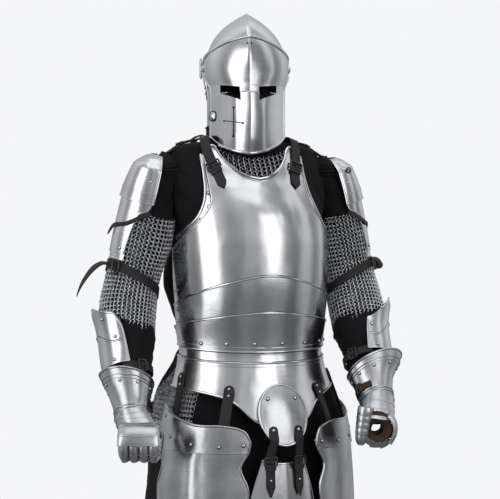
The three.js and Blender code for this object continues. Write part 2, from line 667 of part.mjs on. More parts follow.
function armDefences() {
  for (const arm of Object.values(arms)) {
    const fixed = (value) => () => value;
    add(`spaulder_${arm.name}`, armPlate(arm, {
      from: -0.72, to: 0.125, rows: 5, columns: 10, front: fixed(86), back: fixed(-80),
      offset: (s) => lerp(4, 13, smooth((s + 0.4) / 0.5)),
    }), polishedSteel);
    add(`arm_plate_${arm.name}`, armPlate(arm, {
      from: 0.095, to: 0.34, rows: 4, columns: 8, front: curve([0.095, 84], [0.16, 66], [0.34, 50]),
      back: curve([0.095, -78], [0.34, -60]), offset: fixed(8.4),
    }), polishedSteel);
    add(`arm_lame_${arm.name}`, armPlate(arm, {
      from: 0.32, to: 0.364, rows: 1, columns: 8, front: fixed(50), back: fixed(-60), offset: fixed(6),
    }), polishedSteel);
    // The vambrace guards the outer half of the forearm and flares at the elbow.
    const turn = { R: 0, L: 32 }[arm.name];
    add(`vambrace_${arm.name}`, armPlate(arm, {
      from: 0.585, to: 0.81, rows: 4, columns: 8,
      front: curve([0.585, 48 + turn], [0.66, 62 + turn], [0.81, 74 + turn]),
      back: curve([0.585, turn - 60], [0.81, turn - 80]),
      offset: curve([0.585, 21], [0.63, 12.5], [0.69, 7], [0.81, 6]),
    }), polishedSteel);
    // The cuff opens wide and stands higher on the outside of the arm.
    const peak = { R: 0.024, L: 0.044 }[arm.name];
    const cuffRadius = curve([0.78, 64], [0.82, 59], [0.86, 53], [0.92, 44], [0.96, 39.5], [1, 37.5]);
    const cuff = steps(4).map((v) => steps(13, 0, 360).slice(0, -1).map((angle) => {
      const rim = 0.845 - peak * Math.cos(angle * degrees);
      return armPoint(arm, lerp(0.998, rim, v), angle, 0, cuffRadius);
    }));
    add(`gauntlet_cuff_${arm.name}`, wall(cuff, plateThickness, arm.line.getPointAt(0.9), { closed: true }),
      polishedSteel);
    hand(arm);
  }
}

// The grip axis runs out of the thumb's side of the fist, where the hollow of the hand opens.
const grips = { R: vec(0.956, -0.292, 0), L: vec(-0.292, -0.956, 0) };
const gloveRadius = 39;
const gripRadius = 16;

function hand(arm) {
  const grip = grips[arm.name];
  const down = arm.fist.clone().sub(arm.wrist).projectOnPlane(grip).normalize();
  const back = arm.side > 0 ? grip.clone().cross(down) : down.clone().cross(grip);
  const cylinder = (radius, length) => {
    const solid = new THREE.CylinderGeometry(radius, radius, length, 14);
    const frame = placeAt(arm.fist, back.clone().cross(grip).negate(), grip, back);
    return solid.applyMatrix4(frame);
  };
  const reachBack = arm.wrist.clone().sub(arm.fist);
  const wristTube = (radius, from) => {
    const length = reachBack.length() + 5 - from;
    const solid = new THREE.CylinderGeometry(radius, radius, length, 10);
    const axis = reachBack.clone().normalize();
    const middle = arm.fist.clone().addScaledVector(axis, from + length / 2);
    return solid.applyMatrix4(new THREE.Matrix4().compose(middle,
      new THREE.Quaternion().setFromUnitVectors(vec(0, 1, 0), axis), vec(1, 1, 1)));
  };
  const skin = 2;
  const outer = join(wristTube(29, 22), cylinder(gloveRadius, fistBreadth));
  const inner = join(wristTube(29 - skin, 22).applyMatrix4(new THREE.Matrix4().makeTranslation(
    ...reachBack.clone().normalize().multiplyScalar(0.5).toArray(),
  )), cylinder(gloveRadius - skin, fistBreadth - 2 * skin));
  const bore = cylinder(gripRadius, fistBreadth + 60);
  const boreSleeve = cylinder(gripRadius + skin, fistBreadth + 70);
  const shell = cut(outer, cut(inner, boreSleeve), bore);
  add(`glove_${arm.name}`, shell, leatherBrown);

  // Plates over the back of the hand and over the curled fingers.
  const cover = (from, to, lift, breadth) => {
    const grid = steps(1, -breadth / 2, breadth / 2).map((g) => steps(8, from, to).map((angle) =>
      arm.fist.clone().addScaledVector(grip, g)
        .addScaledVector(back, (gloveRadius + lift) * Math.cos(angle * degrees))
        .addScaledVector(down, (gloveRadius + lift) * Math.sin(angle * degrees))));
    return wall(grid, plateThickness, arm.fist);
  };
  add(`hand_plate_${arm.name}`, cover(-48, 40, 5.8, fistBreadth), polishedSteel);
  add(`finger_plates_${arm.name}`, cover(36, 150, 2.8, fistBreadth - 2), polishedSteel);
}

// ---------------------------------------------------------------- straps

// A flat strap swept along points, its outer face turned away from `inside`.
function strap(points, { width, inside, count = 16, tip = true, thickness = strapThickness }) {
  const path = new THREE.CatmullRomCurve3(points, false, 'centripetal');
  const stations = tip ? [...steps(count, 0, 0.93), 1] : steps(count);
  const grid = stations.map((t) => {
    const centre = path.getPointAt(t);
    const along = path.getTangentAt(t);
    const middle = typeof inside === 'function' ? inside(centre) : inside;
    const out = centre.clone().sub(middle).projectOnPlane(along).normalize();
    const across = out.clone().cross(along);
    const half = tip && t === 1 ? width * 0.08 : width / 2;
    return [-half, half].map((x) =>
      centre.clone().addScaledVector(across, x).addScaledVector(out, thickness / 2));
  });
  const inner = typeof inside === 'function' ? inside(path.getPointAt(0.5)) : inside;
  return wall(grid, thickness, inner);
}

// A square buckle frame standing round the strap, its bar through the leather.
function buckle(centre, along, out, width) {
  const frame = new THREE.Shape();
  const [half, long, wire] = [width / 2 + 4, 9, 3];
  frame.moveTo(-half, -long);
  frame.lineTo(half, -long);
  frame.lineTo(half, long);
  frame.lineTo(-half, long);
  const hole = new THREE.Path();
  hole.moveTo(-half + wire, -long + wire);
  hole.lineTo(-half + wire, long - wire);
  hole.lineTo(half - wire, long - wire);
  hole.lineTo(half - wire, -long + wire);
  frame.holes.push(hole);
  const ring = new THREE.ExtrudeGeometry(frame, { depth: wire, bevelEnabled: false });
  const bar = new THREE.BoxGeometry(2 * half - wire, wire, wire).translate(0, 0, wire / 2);
  const normal = out.clone().projectOnPlane(along).normalize();
  const across = along.clone().cross(normal);
  return join(ring, bar).applyMatrix4(placeAt(centre, across, along, normal));
}

function trunkStraps() {
  for (const [name, side] of Object.entries(sides)) {
    const lift = side > 0 ? 3.8 : 8.2;          // one strap crosses over the other behind
    const onPlate = (angle, z, offset) => platePoint(side * angle, z, offset);
    const onCoat = (angle, z, offset) => coatPoint(side * angle, z, offset);
    // From the breast over the shoulder, then down the back to the other side's waist.
    const points = [
      onPlate(27.5, -104, 3.6), onPlate(30, -74, 3.6), onPlate(33.5, -44, 3.8), onPlate(36, -16, 4.2),
      vec(side * 104 + sideLean, -42, 4.5), vec(side * 106 + sideLean, -10, 6.6),
      vec(side * 106 + sideLean, 30, 5.6), vec(side * 104 + sideLean, 66, -1.5),
      onCoat(148, -34, 4), onCoat(157, -90, lift), onCoat(167, -180, lift), onCoat(180, -270, lift),
      onCoat(198, -350, lift), onCoat(212, -404, lift),
    ];
    const leather = strap(points, {
      width: 22, count: 26, inside: (p) => vec(p.x * 0.7, 14, Math.min(-70, p.z)),
    });
    const place = onPlate(32.5, -52, 4.2);
    const along = onPlate(33.5, -44, 0).sub(onPlate(32, -60, 0)).normalize();
    add(`shoulder_strap_${name}`,
      join(leather, buckle(place, along, place.clone().sub(vec(place.x * 0.7, 14, -70)), 22)), leatherBlack);

    // From the collar out to the spaulder, over the shoulder strap.
    const topPoints = [vec(96, 6, 14.8), vec(106, 4, 13.4), vec(126, 0, 8.6), vec(150, -4, 0),
      vec(172, -6, -10), vec(188, -7, -19)].map((p) => vec(side * p.x + leanAt(p.z), p.y, p.z));
    const top = strap(topPoints, { width: 22, count: 7, inside: vec(side * 130, 0, -120) });
    const seat = vec(side * 138 + sideLean, -2, 3.6);
    add(`spaulder_strap_${name}`,
      join(top, buckle(seat, vec(side * 0.92, 0, -0.38), vec(side * 0.38, 0, 0.92), 22)), leatherBlack);
  }

  const band = steps(1, -439, -411).map((z) =>
    steps(16, 96, 264).map((angle) => coatPoint(angle, z, 11.4)));
  add('waist_strap', wall(band, strapThickness, trunkAxis(-425)), leatherBlack);
}

function hipStraps() {
  for (const [name, side] of Object.entries(sides)) {
    // Two straps on each side carry the tasset from the fauld.
    for (const [place, angle, top] of [['outer', 76, -508], ['inner', 33, -530]]) {
      const low = tassetMiddle + (angle - tassetMiddle) * 0.8;
      const points = [top, -545, -575, -610, -640].map((z) =>
        platePoint(side * lerp(angle, low, (top - z) / 120), z, 8.6));
      add(`tasset_strap_${place}_${name}`,
        strap(points, { width: 24, count: 5, tip: false, inside: trunkAxis(-580) }), leatherBlack);
    }
    // From behind the oval plate down to the cod plate, with the free end hanging.
    const cod = [-640, -662, -690, -720, -750, -778].map((z) => platePoint(side * 8.6, z, 4.5));
    const leather = strap(cod, { width: 19, count: 7, inside: trunkAxis(-700) });
    const [place, out] = [platePoint(side * 8.6, -690, 5.8), platePoint(side * 8.6, -690, 40)];
    add(`cod_strap_${name}`, join(leather, buckle(place, vec(0, -0.12, -0.99).normalize(),
      out.sub(place), 19)), leatherBlack);
  }
}

// The strap that closes the upper defences round the arm, tilted down towards the body.
function armStraps() {
  const lift = mailLift + mailThickness + 3.4 + strapThickness;
  const place = 0.435;
  for (const arm of Object.values(arms)) {
    const edge = (shift) => steps(16, 0, 360).slice(0, -1).map((angle) => armPoint(
      arm, place + shift - 0.047 * Math.cos((angle - 20) * degrees), angle, lift,
    ));
    const ring = wall([edge(0.02), edge(-0.02)], strapThickness,
      arm.line.getPointAt(place), { closed: true });
    const start = armPoint(arm, place - 0.045, 8, lift - strapThickness / 2);
    const tails = {
      R: [[0, 0, 0], [-16, -1, 1], [-34, -2, -10], [-54, -3, -36], [-64, -4, -56]],
      L: [[0, 0, 0], [12, 0, 6], [24, -2, 2], [28, -4, -10], [20, -6, -20]],
    }[arm.name];
    const tail = strap(tails.map(([x, y, z]) => start.clone().add(vec(x, y, z))), {
      width: 20, count: 8, inside: start.clone().add(vec(arm.side * 10, 60, -200)),
    });
    add(`arm_strap_${arm.name}`, join(ring, tail), leatherBlack);
  }
}

helmet();
armingCoat();
mail();
cuirass();
frontPieces();
tassets();
armDefences();
trunkStraps();
hipStraps();
armStraps();

export default armour;
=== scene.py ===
import math
import random

import bpy
import numpy as np
from mathutils import Matrix, Vector, noise


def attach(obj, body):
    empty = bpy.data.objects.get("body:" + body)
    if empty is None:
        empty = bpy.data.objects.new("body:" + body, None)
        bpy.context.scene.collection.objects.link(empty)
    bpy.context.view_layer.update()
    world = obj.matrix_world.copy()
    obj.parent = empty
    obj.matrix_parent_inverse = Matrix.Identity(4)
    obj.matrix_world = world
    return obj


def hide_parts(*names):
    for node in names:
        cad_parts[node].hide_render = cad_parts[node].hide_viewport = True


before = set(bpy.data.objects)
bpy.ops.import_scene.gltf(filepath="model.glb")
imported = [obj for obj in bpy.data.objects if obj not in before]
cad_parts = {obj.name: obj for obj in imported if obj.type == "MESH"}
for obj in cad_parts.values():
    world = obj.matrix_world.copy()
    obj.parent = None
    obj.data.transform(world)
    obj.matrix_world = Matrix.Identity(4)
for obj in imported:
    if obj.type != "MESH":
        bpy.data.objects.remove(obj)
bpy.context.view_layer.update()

# Everything below is worked out in millimetres, +Z up, -Y the wearer's front, +X the wearer's left.


def lerp(a, b, t):
    return a + (b - a) * t


def clamp(x, low=0.0, high=1.0):
    return min(high, max(low, x))


def smooth(x):
    t = clamp(x)
    return t * t * (3 - 2 * t)


def steps(count, start=0.0, end=1.0):
    return [lerp(start, end, i / count) for i in range(count + 1)]


def bump(x, middle, width):
    return math.exp(-(((x - middle) / width) ** 2))


def sine(degrees):
    return math.sin(math.radians(degrees))


def cosine(degrees):
    return math.cos(math.radians(degrees))


def degreesRound(count):
    return steps(count, 0, 360)[:-1]


def radiansRound(count):
    return [2 * math.pi * k / count for k in range(count)]


def asVectors(points):
    return [Vector(tuple(p)) for p in points]


# Smooth curves through [place, value, value, ...] stations.
def profile(rows):
    rows = sorted(rows)
    last = len(rows) - 1

    def slope(i, k):
        low, high = rows[max(0, i - 1)], rows[min(last, i + 1)]
        return (high[k] - low[k]) / (high[0] - low[0])

    def at(place):
        x = clamp(place, rows[0][0], rows[last][0])
        i = 0
        while i < last - 1 and x > rows[i + 1][0]:
            i += 1
        low, high = rows[i], rows[i + 1]
        span = high[0] - low[0]
        t = (x - low[0]) / span
        return [low[k] * (2 * t ** 3 - 3 * t ** 2 + 1) + slope(i, k) * span * (t ** 3 - 2 * t ** 2 + t)
                + high[k] * (3 * t ** 2 - 2 * t ** 3) + slope(i + 1, k) * span * (t ** 3 - t ** 2)
                for k in range(1, len(low))]
    return at


def curve(*rows):
    at = profile(rows)
    return lambda x: at(x)[0]


def gridNormals(grid, closed):
    if closed:
        across = np.roll(grid, -1, axis=1) - np.roll(grid, 1, axis=1)
    else:
        padded = np.concatenate([grid[:, :1], grid, grid[:, -1:]], axis=1)
        across = padded[:, 2:] - padded[:, :-2]
    padded = np.concatenate([grid[:1], grid, grid[-1:]], axis=0)
    upward = padded[2:] - padded[:-2]
    normals = np.cross(across, upward)
    return normals / (np.linalg.norm(normals, axis=2, keepdims=True) + 1e-12)


def onSuit(obj, material, body="suit", replaces=()):
    obj.data.materials.clear()
    obj.data.materials.append(material)
    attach(obj, body)
    if replaces:
        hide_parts(*replaces)
    return obj


class Piece:
    def __init__(self, name):
        self.name, self.points, self.faces, self.area = name, [], [], 0.0

    # A closed thin wall whose outer face is the grid; the thickness goes towards `inside`.
    def wall(self, rows, thickness, inside, closed=False, pole=None, keepFace=None):
        grid = np.array([[tuple(p) for p in row] for row in rows], dtype=float)
        normals = gridNormals(grid, closed)
        j, i = grid.shape[0] // 2, grid.shape[1] // 2
        flipped = np.dot(normals[j, i], grid[j, i] - np.array(tuple(inside))) < 0
        if flipped:
            grid = grid[:, ::-1]
            normals = gridNormals(grid, closed)
        height, width = grid.shape[:2]
        inner = grid - normals * thickness
        base = len(self.points)
        depth = height * width
        self.points += [tuple(p) for p in grid.reshape(-1, 3)] + [tuple(p) for p in inner.reshape(-1, 3)]

        def at(j, i, under=0):
            return base + under * depth + j * width + i % width
        columns = width if closed else width - 1
        kept = [[keepFace is None or keepFace(grid[j, i], grid[j + 1, (i + 1) % width])
                 for i in range(columns)] for j in range(height - 1)]
        for j in range(height - 1):
            for i in range(columns):
                if not kept[j][i]:
                    continue
                a, b, c, d = (j, i), (j, i + 1), (j + 1, i + 1), (j + 1, i)
                self.faces.append(tuple(at(*q) for q in (a, b, c, d)))
                self.faces.append(tuple(at(*q, 1) for q in (d, c, b, a)))
                near = {(a, b): (j - 1, i), (b, c): (j, i + 1), (c, d): (j + 1, i), (d, a): (j, i - 1)}
                for (p, q), (nj, ni) in near.items():
                    if closed:
                        ni %= width
                    open_ = not (0 <= nj < height - 1 and 0 <= ni < columns) or not kept[nj][ni]
                    if open_ and not (pole is not None and nj == height - 1):
                        self.faces.append((at(*q), at(*p), at(*p, 1), at(*q, 1)))
                self.area += np.linalg.norm(np.cross(grid[j, (i + 1) % width] - grid[j, i],
                                                     grid[j + 1, i] - grid[j, i]))
        if pole is not None:
            down = (Vector(inside) - Vector(pole)).normalized()
            self.points += [tuple(pole), tuple(Vector(pole) + down * thickness)]
            top = len(self.points) - 2
            for i in range(columns):
                a, b = (height - 1, i), (height - 1, i + 1)
                self.faces += [(at(*a), at(*b), top), (at(*b, 1), at(*a, 1), top + 1)]
        return (grid[:, ::-1], normals[:, ::-1]) if flipped else (grid, normals)

    # A round or flattened bead along a path; `facing` is the way its flat side looks.
    def bead(self, path, radius, facing=None, flat=1.0, closed=False, sides=8):
        path = asVectors(path)
        count = len(path)
        base = len(self.points)
        out = None
        for k, p in enumerate(path):
            before = path[(k - 1) % count if closed else max(0, k - 1)]
            after = path[(k + 1) % count if closed else min(count - 1, k + 1)]
            along = (after - before).normalized()
            if facing is not None:
                out = Vector(tuple(facing[k]))
            elif out is None:
                out = Vector((0, 0, 1)) if abs(along.z) < 0.8 else Vector((1, 0, 0))
            out = (out - along * out.dot(along)).normalized()
            across = along.cross(out)
            r = radius(k / (count - 1)) if callable(radius) else radius
            for s in range(sides):
                t = 2 * math.pi * s / sides
                self.points.append(tuple(p + out * (math.cos(t) * r * flat) + across * (math.sin(t) * r)))
        for k in range(count if closed else count - 1):
            near, far = base + k * sides, base + ((k + 1) % count) * sides
            for s in range(sides):
                t = (s + 1) % sides
                self.faces.append((near + s, near + t, far + t, far + s))
        if not closed:
            for k, ring in ((0, base), (-1, base + (count - 1) * sides)):
                beyond = (path[k] - path[1 if k == 0 else -2]).normalized()
                r = radius(0 if k == 0 else 1) if callable(radius) else radius
                self.points.append(tuple(path[k] + beyond * (r * 0.5)))
                tip = len(self.points) - 1
                for s in range(sides):
                    t = (s + 1) % sides
                    self.faces.append((ring + t, ring + s, tip) if k == 0 else (ring + s, ring + t, tip))

    # Beads along the named edges of a wall's grid: low, high, first or last.
    def rolled(self, sheet, edges, radius, flat=0.8, lift=0.0):
        grid, normals = sheet
        for edge in edges:
            pick = {"low": (0, slice(None)), "high": (-1, slice(None)), "first": (slice(None), 0),
                    "last": (slice(None), -1)}[edge]
            points, facing = grid[pick], normals[pick]
            self.bead(points + facing * (lift - 0.5), radius, facing, flat)

    def build(self, material, body="suit", replaces=(), slot="steel", sharp=38):
        mesh = bpy.data.meshes.new(self.name)
        mesh.from_pydata([tuple(c * 0.001 for c in p) for p in self.points], [], self.faces)
        mesh.update()
        mesh.polygons.foreach_set("use_smooth", [True] * len(mesh.polygons))
        mesh.set_sharp_from_angle(angle=math.radians(sharp))
        obj = bpy.data.objects.new(self.name, mesh)
        bpy.context.scene.collection.objects.link(obj)
        return onSuit(obj, material, body, replaces)


class Value:
    def __init__(self, shader, socket):
        self.shader, self.socket = shader, socket

    def maths(self, operation, a, b=None):
        values = {0: a} if b is None else {0: a, 1: b}
        return self.shader.node("ShaderNodeMath", {"operation": operation}, values)

    def __add__(self, other): return self.maths("ADD", self, other)
    def __radd__(self, other): return self.maths("ADD", other, self)
    def __sub__(self, other): return self.maths("SUBTRACT", self, other)
    def __mul__(self, other): return self.maths("MULTIPLY", self, other)
    def __rmul__(self, other): return self.maths("MULTIPLY", other, self)
    def sin(self): return self.maths("SINE", self)

    def between(self, low, high):
        return self.shader.node("ShaderNodeMapRange", {}, {"Value": self, "From Min": low, "From Max": high})


class Shader:
    def __init__(self, name, **settings):
        self.material = bpy.data.materials.new(name)
        self.material.use_nodes = True
        self.tree = self.material.node_tree
        self.main = next(n for n in self.tree.nodes if n.type == "BSDF_PRINCIPLED")
        for socket, value in settings.items():
            self.main.inputs[socket.replace("_", " ")].default_value = value
        self.place = self.node("ShaderNodeTexCoord", {}, {}, "Object")

    def node(self, kind, settings, values, output=0):
        made = self.tree.nodes.new(kind)
        for name, value in settings.items():
            if name == "stops":
                for k, (spot, colour) in enumerate(value):
                    ramp = made.color_ramp.elements
                    element = ramp[k] if k < len(ramp) else ramp.new(spot)
                    element.position, element.color = spot, colour
            else:
                setattr(made, name, value)
        for socket, value in values.items():
            self.feed(made.inputs[socket], value)
        return Value(self, made.outputs[output])

    def feed(self, socket, value):
        if isinstance(value, Value):
            self.tree.links.new(value.socket, socket)
        else:
            socket.default_value = value

    def noise(self, scale, detail=3.0, stretch=(1, 1, 1), rough=0.5):
        spot = self.node("ShaderNodeMapping", {}, {"Vector": self.place, "Scale": stretch})
        return self.node("ShaderNodeTexNoise", {}, {"Vector": spot, "Scale": scale, "Detail": detail,
                                                    "Roughness": rough})

    def mix(self, share, first, second):
        return self.node("ShaderNodeMix", {"data_type": "RGBA"}, {0: share, 6: first, 7: second}, 2)

    def set(self, **links):
        for socket, value in links.items():
            self.feed(self.main.inputs[socket.replace("_", " ")], value)

    def relief(self, height, strength, distance):
        self.set(Normal=self.node("ShaderNodeBump", {}, {"Height": height, "Strength": strength,
                                                         "Distance": distance}))
        return self.material


def steelFinish(name, settings):
    s = Shader(name, Metallic=1.0)
    clouds = s.noise(settings["cloudScale"], 4.0)
    streaks = s.noise(3.0, 3.0, (4, 4, 260), 0.6)     # polishing marks run round the plates
    smudges = s.noise(38, 5.0, rough=0.65)
    tone = clouds.between(0.32, 0.7)
    s.set(Base_Color=s.mix(tone, (*settings["dark"], 1), (*settings["light"], 1)))
    low, spread = settings["roughness"]
    s.set(Roughness=low + spread * (0.5 * clouds.between(0.35, 0.7) + 0.3 * streaks.between(0.35, 0.7)
                                   + 0.3 * smudges.between(0.4, 0.75)))
    waves = s.noise(settings["waveScale"], 1.0, (1, 1, 0.55))
    dents = s.noise(settings["waveScale"] * 2.7, 1.0, (1, 1, 0.4))
    return s.relief(waves * settings["waves"] + dents * (settings["waves"] * 0.2) + streaks * 0.015
                    + smudges * 0.01, 1.0, 0.004)


def clothFinish(name, settings):
    s = Shader(name, Metallic=0.0, Sheen_Weight=settings["sheen"], Sheen_Roughness=0.45,
               Specular_IOR_Level=0.25)
    fade = s.noise(9, 4.0)
    lint = s.noise(420, 2.0, rough=0.7)
    s.set(Base_Color=s.mix(fade.between(0.3, 0.75) * 0.7 + lint.between(0.55, 0.85) * 0.3,
                           (*settings["dark"], 1), (*settings["light"], 1)))
    s.set(Roughness=0.82 + 0.14 * fade.between(0.3, 0.7))
    parts = s.tree.nodes.new("ShaderNodeSeparateXYZ")
    s.feed(parts.inputs[0], s.place)
    x, y, z = (Value(s, socket) for socket in parts.outputs)
    thread = settings["thread"]
    twill = ((x + y) * thread).sin() * (z * thread).sin() + ((x - y + z) * (thread * 0.5)).sin() * 0.4
    return s.relief(twill * 0.1 + lint * 0.5, 0.5, 0.0006)


def leatherFinish(name, settings):
    s = Shader(name, Metallic=0.0, Specular_IOR_Level=settings["gloss"])
    wear = s.noise(30, 4.0, rough=0.6)
    grain = s.node("ShaderNodeTexVoronoi", {"feature": "DISTANCE_TO_EDGE"},
                   {"Vector": s.place, "Scale": settings["grain"]})
    creases = s.noise(160, 3.0, (1, 1, 0.35))
    s.set(Base_Color=s.mix(wear.between(0.38, 0.72), (*settings["dark"], 1), (*settings["light"], 1)))
    low, spread = settings["roughness"]
    s.set(Roughness=low + spread * (0.6 * wear.between(0.35, 0.7) + 0.4 * creases.between(0.3, 0.7)))
    return s.relief(grain.between(0.0, 0.12) * 0.5 + creases * 0.7, 0.45, 0.0008)


finishes = {
    "plate": steelFinish("polishedPlate", {
        "dark": (0.53, 0.54, 0.552), "light": (0.70, 0.712, 0.728), "roughness": (0.14, 0.15),
        "cloudScale": 7.0, "waveScale": 11.0, "waves": 1.0}),
    # The satin finish is a little rougher than the polished plate, and its base colour is darker as painted
    # shade, which dims the reflections on the disc, tassets, cuffs and hands.
    "shadedSatin": steelFinish("shadedSatinPlate", {
        "dark": (0.40, 0.41, 0.425), "light": (0.56, 0.572, 0.59), "roughness": (0.2, 0.15),
        "cloudScale": 9.0, "waveScale": 14.0, "waves": 0.9}),
    # The mail's base colour is lighter than the plate's as painted light, which brightens the rings.
    "mail": steelFinish("brightenedMailSteel", {
        "dark": (0.66, 0.68, 0.71), "light": (0.93, 0.94, 0.96), "roughness": (0.2, 0.2),
        "cloudScale": 60.0, "waveScale": 80.0, "waves": 0.05}),
    "blackened": steelFinish("blackenedSteel", {
        "dark": (0.035, 0.035, 0.038), "light": (0.10, 0.10, 0.105), "roughness": (0.3, 0.25),
        "cloudScale": 90.0, "waveScale": 60.0, "waves": 0.05}),
    "cloth": clothFinish("blackCotton", {
        "dark": (0.002, 0.0021, 0.0028), "light": (0.0085, 0.0088, 0.011), "sheen": 0.035,
        "thread": 2600.0}),
    "strap": leatherFinish("blackLeather", {
        "dark": (0.006, 0.006, 0.007), "light": (0.022, 0.022, 0.025), "roughness": (0.4, 0.25),
        "gloss": 0.38, "grain": 900.0}),
    "glove": leatherFinish("brownLeather", {
        "dark": (0.018, 0.009, 0.006), "light": (0.075, 0.042, 0.028), "roughness": (0.6, 0.3),
        "gloss": 0.3, "grain": 650.0}),
}
print("finishes made:", ", ".join(finishes))


class Tree:
    def __init__(self, name, **inputs):
        self.group = bpy.data.node_groups.new(name, "GeometryNodeTree")
        self.group.interface.new_socket("Geometry", in_out="INPUT", socket_type="NodeSocketGeometry")
        for key, kind in inputs.items():
            self.group.interface.new_socket(key, in_out="INPUT", socket_type="NodeSocket" + kind)
        self.group.interface.new_socket("Geometry", in_out="OUTPUT", socket_type="NodeSocketGeometry")
        self.input = self.group.nodes.new("NodeGroupInput")
        self.output = self.group.nodes.new("NodeGroupOutput")

    def node(self, kind, links, **settings):
        made = self.group.nodes.new(kind)
        for key, value in settings.items():
            setattr(made, key, value)
        for socket, value in links.items():
            if isinstance(value, bpy.types.NodeSocket):
                self.group.links.new(value, made.inputs[socket])
            else:
                made.inputs[socket].default_value = value
        return made.outputs

    def finish(self, instances):
        real = self.node("GeometryNodeRealizeInstances", {"Geometry": instances})
        soft = self.node("GeometryNodeSetShadeSmooth", {"Geometry": real[0]})
        shown = self.node("GeometryNodeSetMaterial", {"Geometry": soft[0],
                                                      "Material": self.input.outputs["Material"]})
        self.group.links.new(shown[0], self.output.inputs[0])
        return self.group


def rivetTree():
    tree = Tree("domedHeads", Radius="Float", Height="Float", Material="Material")
    given = tree.input.outputs
    ball = tree.node("GeometryNodeMeshUVSphere", {"Segments": 12, "Rings": 5, "Radius": 1.0})
    size = tree.node("ShaderNodeCombineXYZ", {0: given["Radius"], 1: given["Radius"], 2: given["Height"]})
    head = tree.node("GeometryNodeTransform", {"Geometry": ball[0], "Scale": size[0]})
    facing = tree.node("GeometryNodeInputNamedAttribute", {"Name": "facing"}, data_type="FLOAT_VECTOR")
    turned = tree.node("FunctionNodeAlignRotationToVector", {"Vector": facing[0]}, axis="Z")
    spread = tree.node("GeometryNodeInstanceOnPoints", {
        "Points": given["Geometry"], "Instance": head[0], "Rotation": turned[0]})
    return tree.finish(spread[0])


def mailTree():
    tree = Tree("linkedRings", Radius="Float", Wire="Float", Material="Material")
    given = tree.input.outputs
    path = tree.node("GeometryNodeCurvePrimitiveCircle", {"Resolution": 8, "Radius": given["Radius"]})
    section = tree.node("GeometryNodeCurvePrimitiveCircle", {"Resolution": 3, "Radius": given["Wire"]})
    ring = tree.node("GeometryNodeCurveToMesh", {"Curve": path[0], "Profile Curve": section[0]})
    turn = tree.node("GeometryNodeInputNamedAttribute", {"Name": "turn"}, data_type="FLOAT_VECTOR")
    rotation = tree.node("FunctionNodeEulerToRotation", {0: turn[0]})
    spread = tree.node("GeometryNodeInstanceOnPoints", {
        "Points": given["Geometry"], "Instance": ring[0], "Rotation": rotation[0]})
    return tree.finish(spread[0])


def grown(name, points, attribute, vectors, tree, settings, material):
    mesh = bpy.data.meshes.new(name)
    mesh.from_pydata([tuple(c * 0.001 for c in p) for p in points], [], [])
    stored = mesh.attributes.new(attribute, "FLOAT_VECTOR", "POINT")
    stored.data.foreach_set("vector", [c for v in vectors for c in v])
    seed = bpy.data.objects.new(name + "Seed", mesh)
    bpy.context.scene.collection.objects.link(seed)
    modifier = seed.modifiers.new("grow", "NODES")
    modifier.node_group = tree
    sockets = {item.name: item.identifier for item in tree.interface.items_tree if item.in_out == "INPUT"}
    for key, value in {**settings, "Material": material}.items():
        modifier[sockets[key]] = value
    evaluated = seed.evaluated_get(bpy.context.evaluated_depsgraph_get())
    result = bpy.data.objects.new(name, bpy.data.meshes.new_from_object(evaluated))
    result.data.name = name
    bpy.context.scene.collection.objects.link(result)
    bpy.data.objects.remove(seed)
    return result


headTree, ringTree = rivetTree(), mailTree()


def rivets(name, spots, radius, height, finish="plate", body="suit"):
    points = [p for p, _ in spots]
    facings = [tuple(Vector(n).normalized()) for _, n in spots]
    layers = [(name, radius, height, finish)]
    # Each plate rivet gets a wider, thin blackened ring under its head.
    if finish == "plate":
        layers.append((name + "DarkRings", radius * 1.28, 0.45, "blackened"))
    for label, r, h, coating in layers:
        obj = grown(label, points, "facing", facings, headTree, {"Radius": r * 0.001, "Height": h * 0.001},
                    finishes[coating])
        onSuit(obj, finishes[coating], body)


waistHeight = -470.0
hemHeight = -905.0
coatSections = profile([
    (1, 92, 56, 76), (-4, 126, 57, 80), (-13, 156, 58, 86), (-31, 176, 62, 92), (-50, 185, 70, 97),
    (-80, 187, 87, 107), (-110, 184, 102, 113), (-150, 175, 120, 118), (-190, 166, 130, 118),
    (-230, 163, 139, 116), (-310, 165, 138, 108), (-380, 156, 128, 101), (-440, 148, 114, 98),
    (-480, 149, 112, 101), (-540, 168, 124, 118), (-620, 188, 138, 140), (-736, 200, 152, 160),
    (hemHeight, 216, 172, 180)])
coatFullness = curve((1, 0), (-110, 0), (-150, 6), (-230, 24), (-318, 38), (-387, 24), (-430, 8),
                     (-455, 10), (-472, 22), (-502, 30), (-542, 36), (-578, 34), (-736, 18), (hemHeight, 10))
plateSections = profile([
    (-5, 172, 60), (-20, 172, 66), (-50, 174, 86), (-80, 175, 102), (-110, 176, 120), (-150, 178, 141),
    (-190, 178, 152), (-230, 178, 159), (-310, 176, 160), (-380, 170, 148), (-440, 163, 134),
    (waistHeight, 161, 130), (-500, 166, 136), (-560, 188, 158), (-620, 205, 178), (-700, 216, 188),
    (hemHeight, 226, 196)])


def leanAt(z):
    return -14 * smooth((z + 220) / 200)


def onTrunk(x, y, z):
    turn = math.radians(6) * smooth((waistHeight - z) / 80)
    return Vector((x * math.cos(turn) - y * math.sin(turn) + leanAt(z),
                   x * math.sin(turn) + y * math.cos(turn), z))


def platePoint(angle, z, offset=0.0):
    halfWidth, front = plateSections(z)
    t = math.radians(angle)
    return onTrunk((halfWidth + offset) * math.sin(t), -(front + offset) * math.cos(t), z)


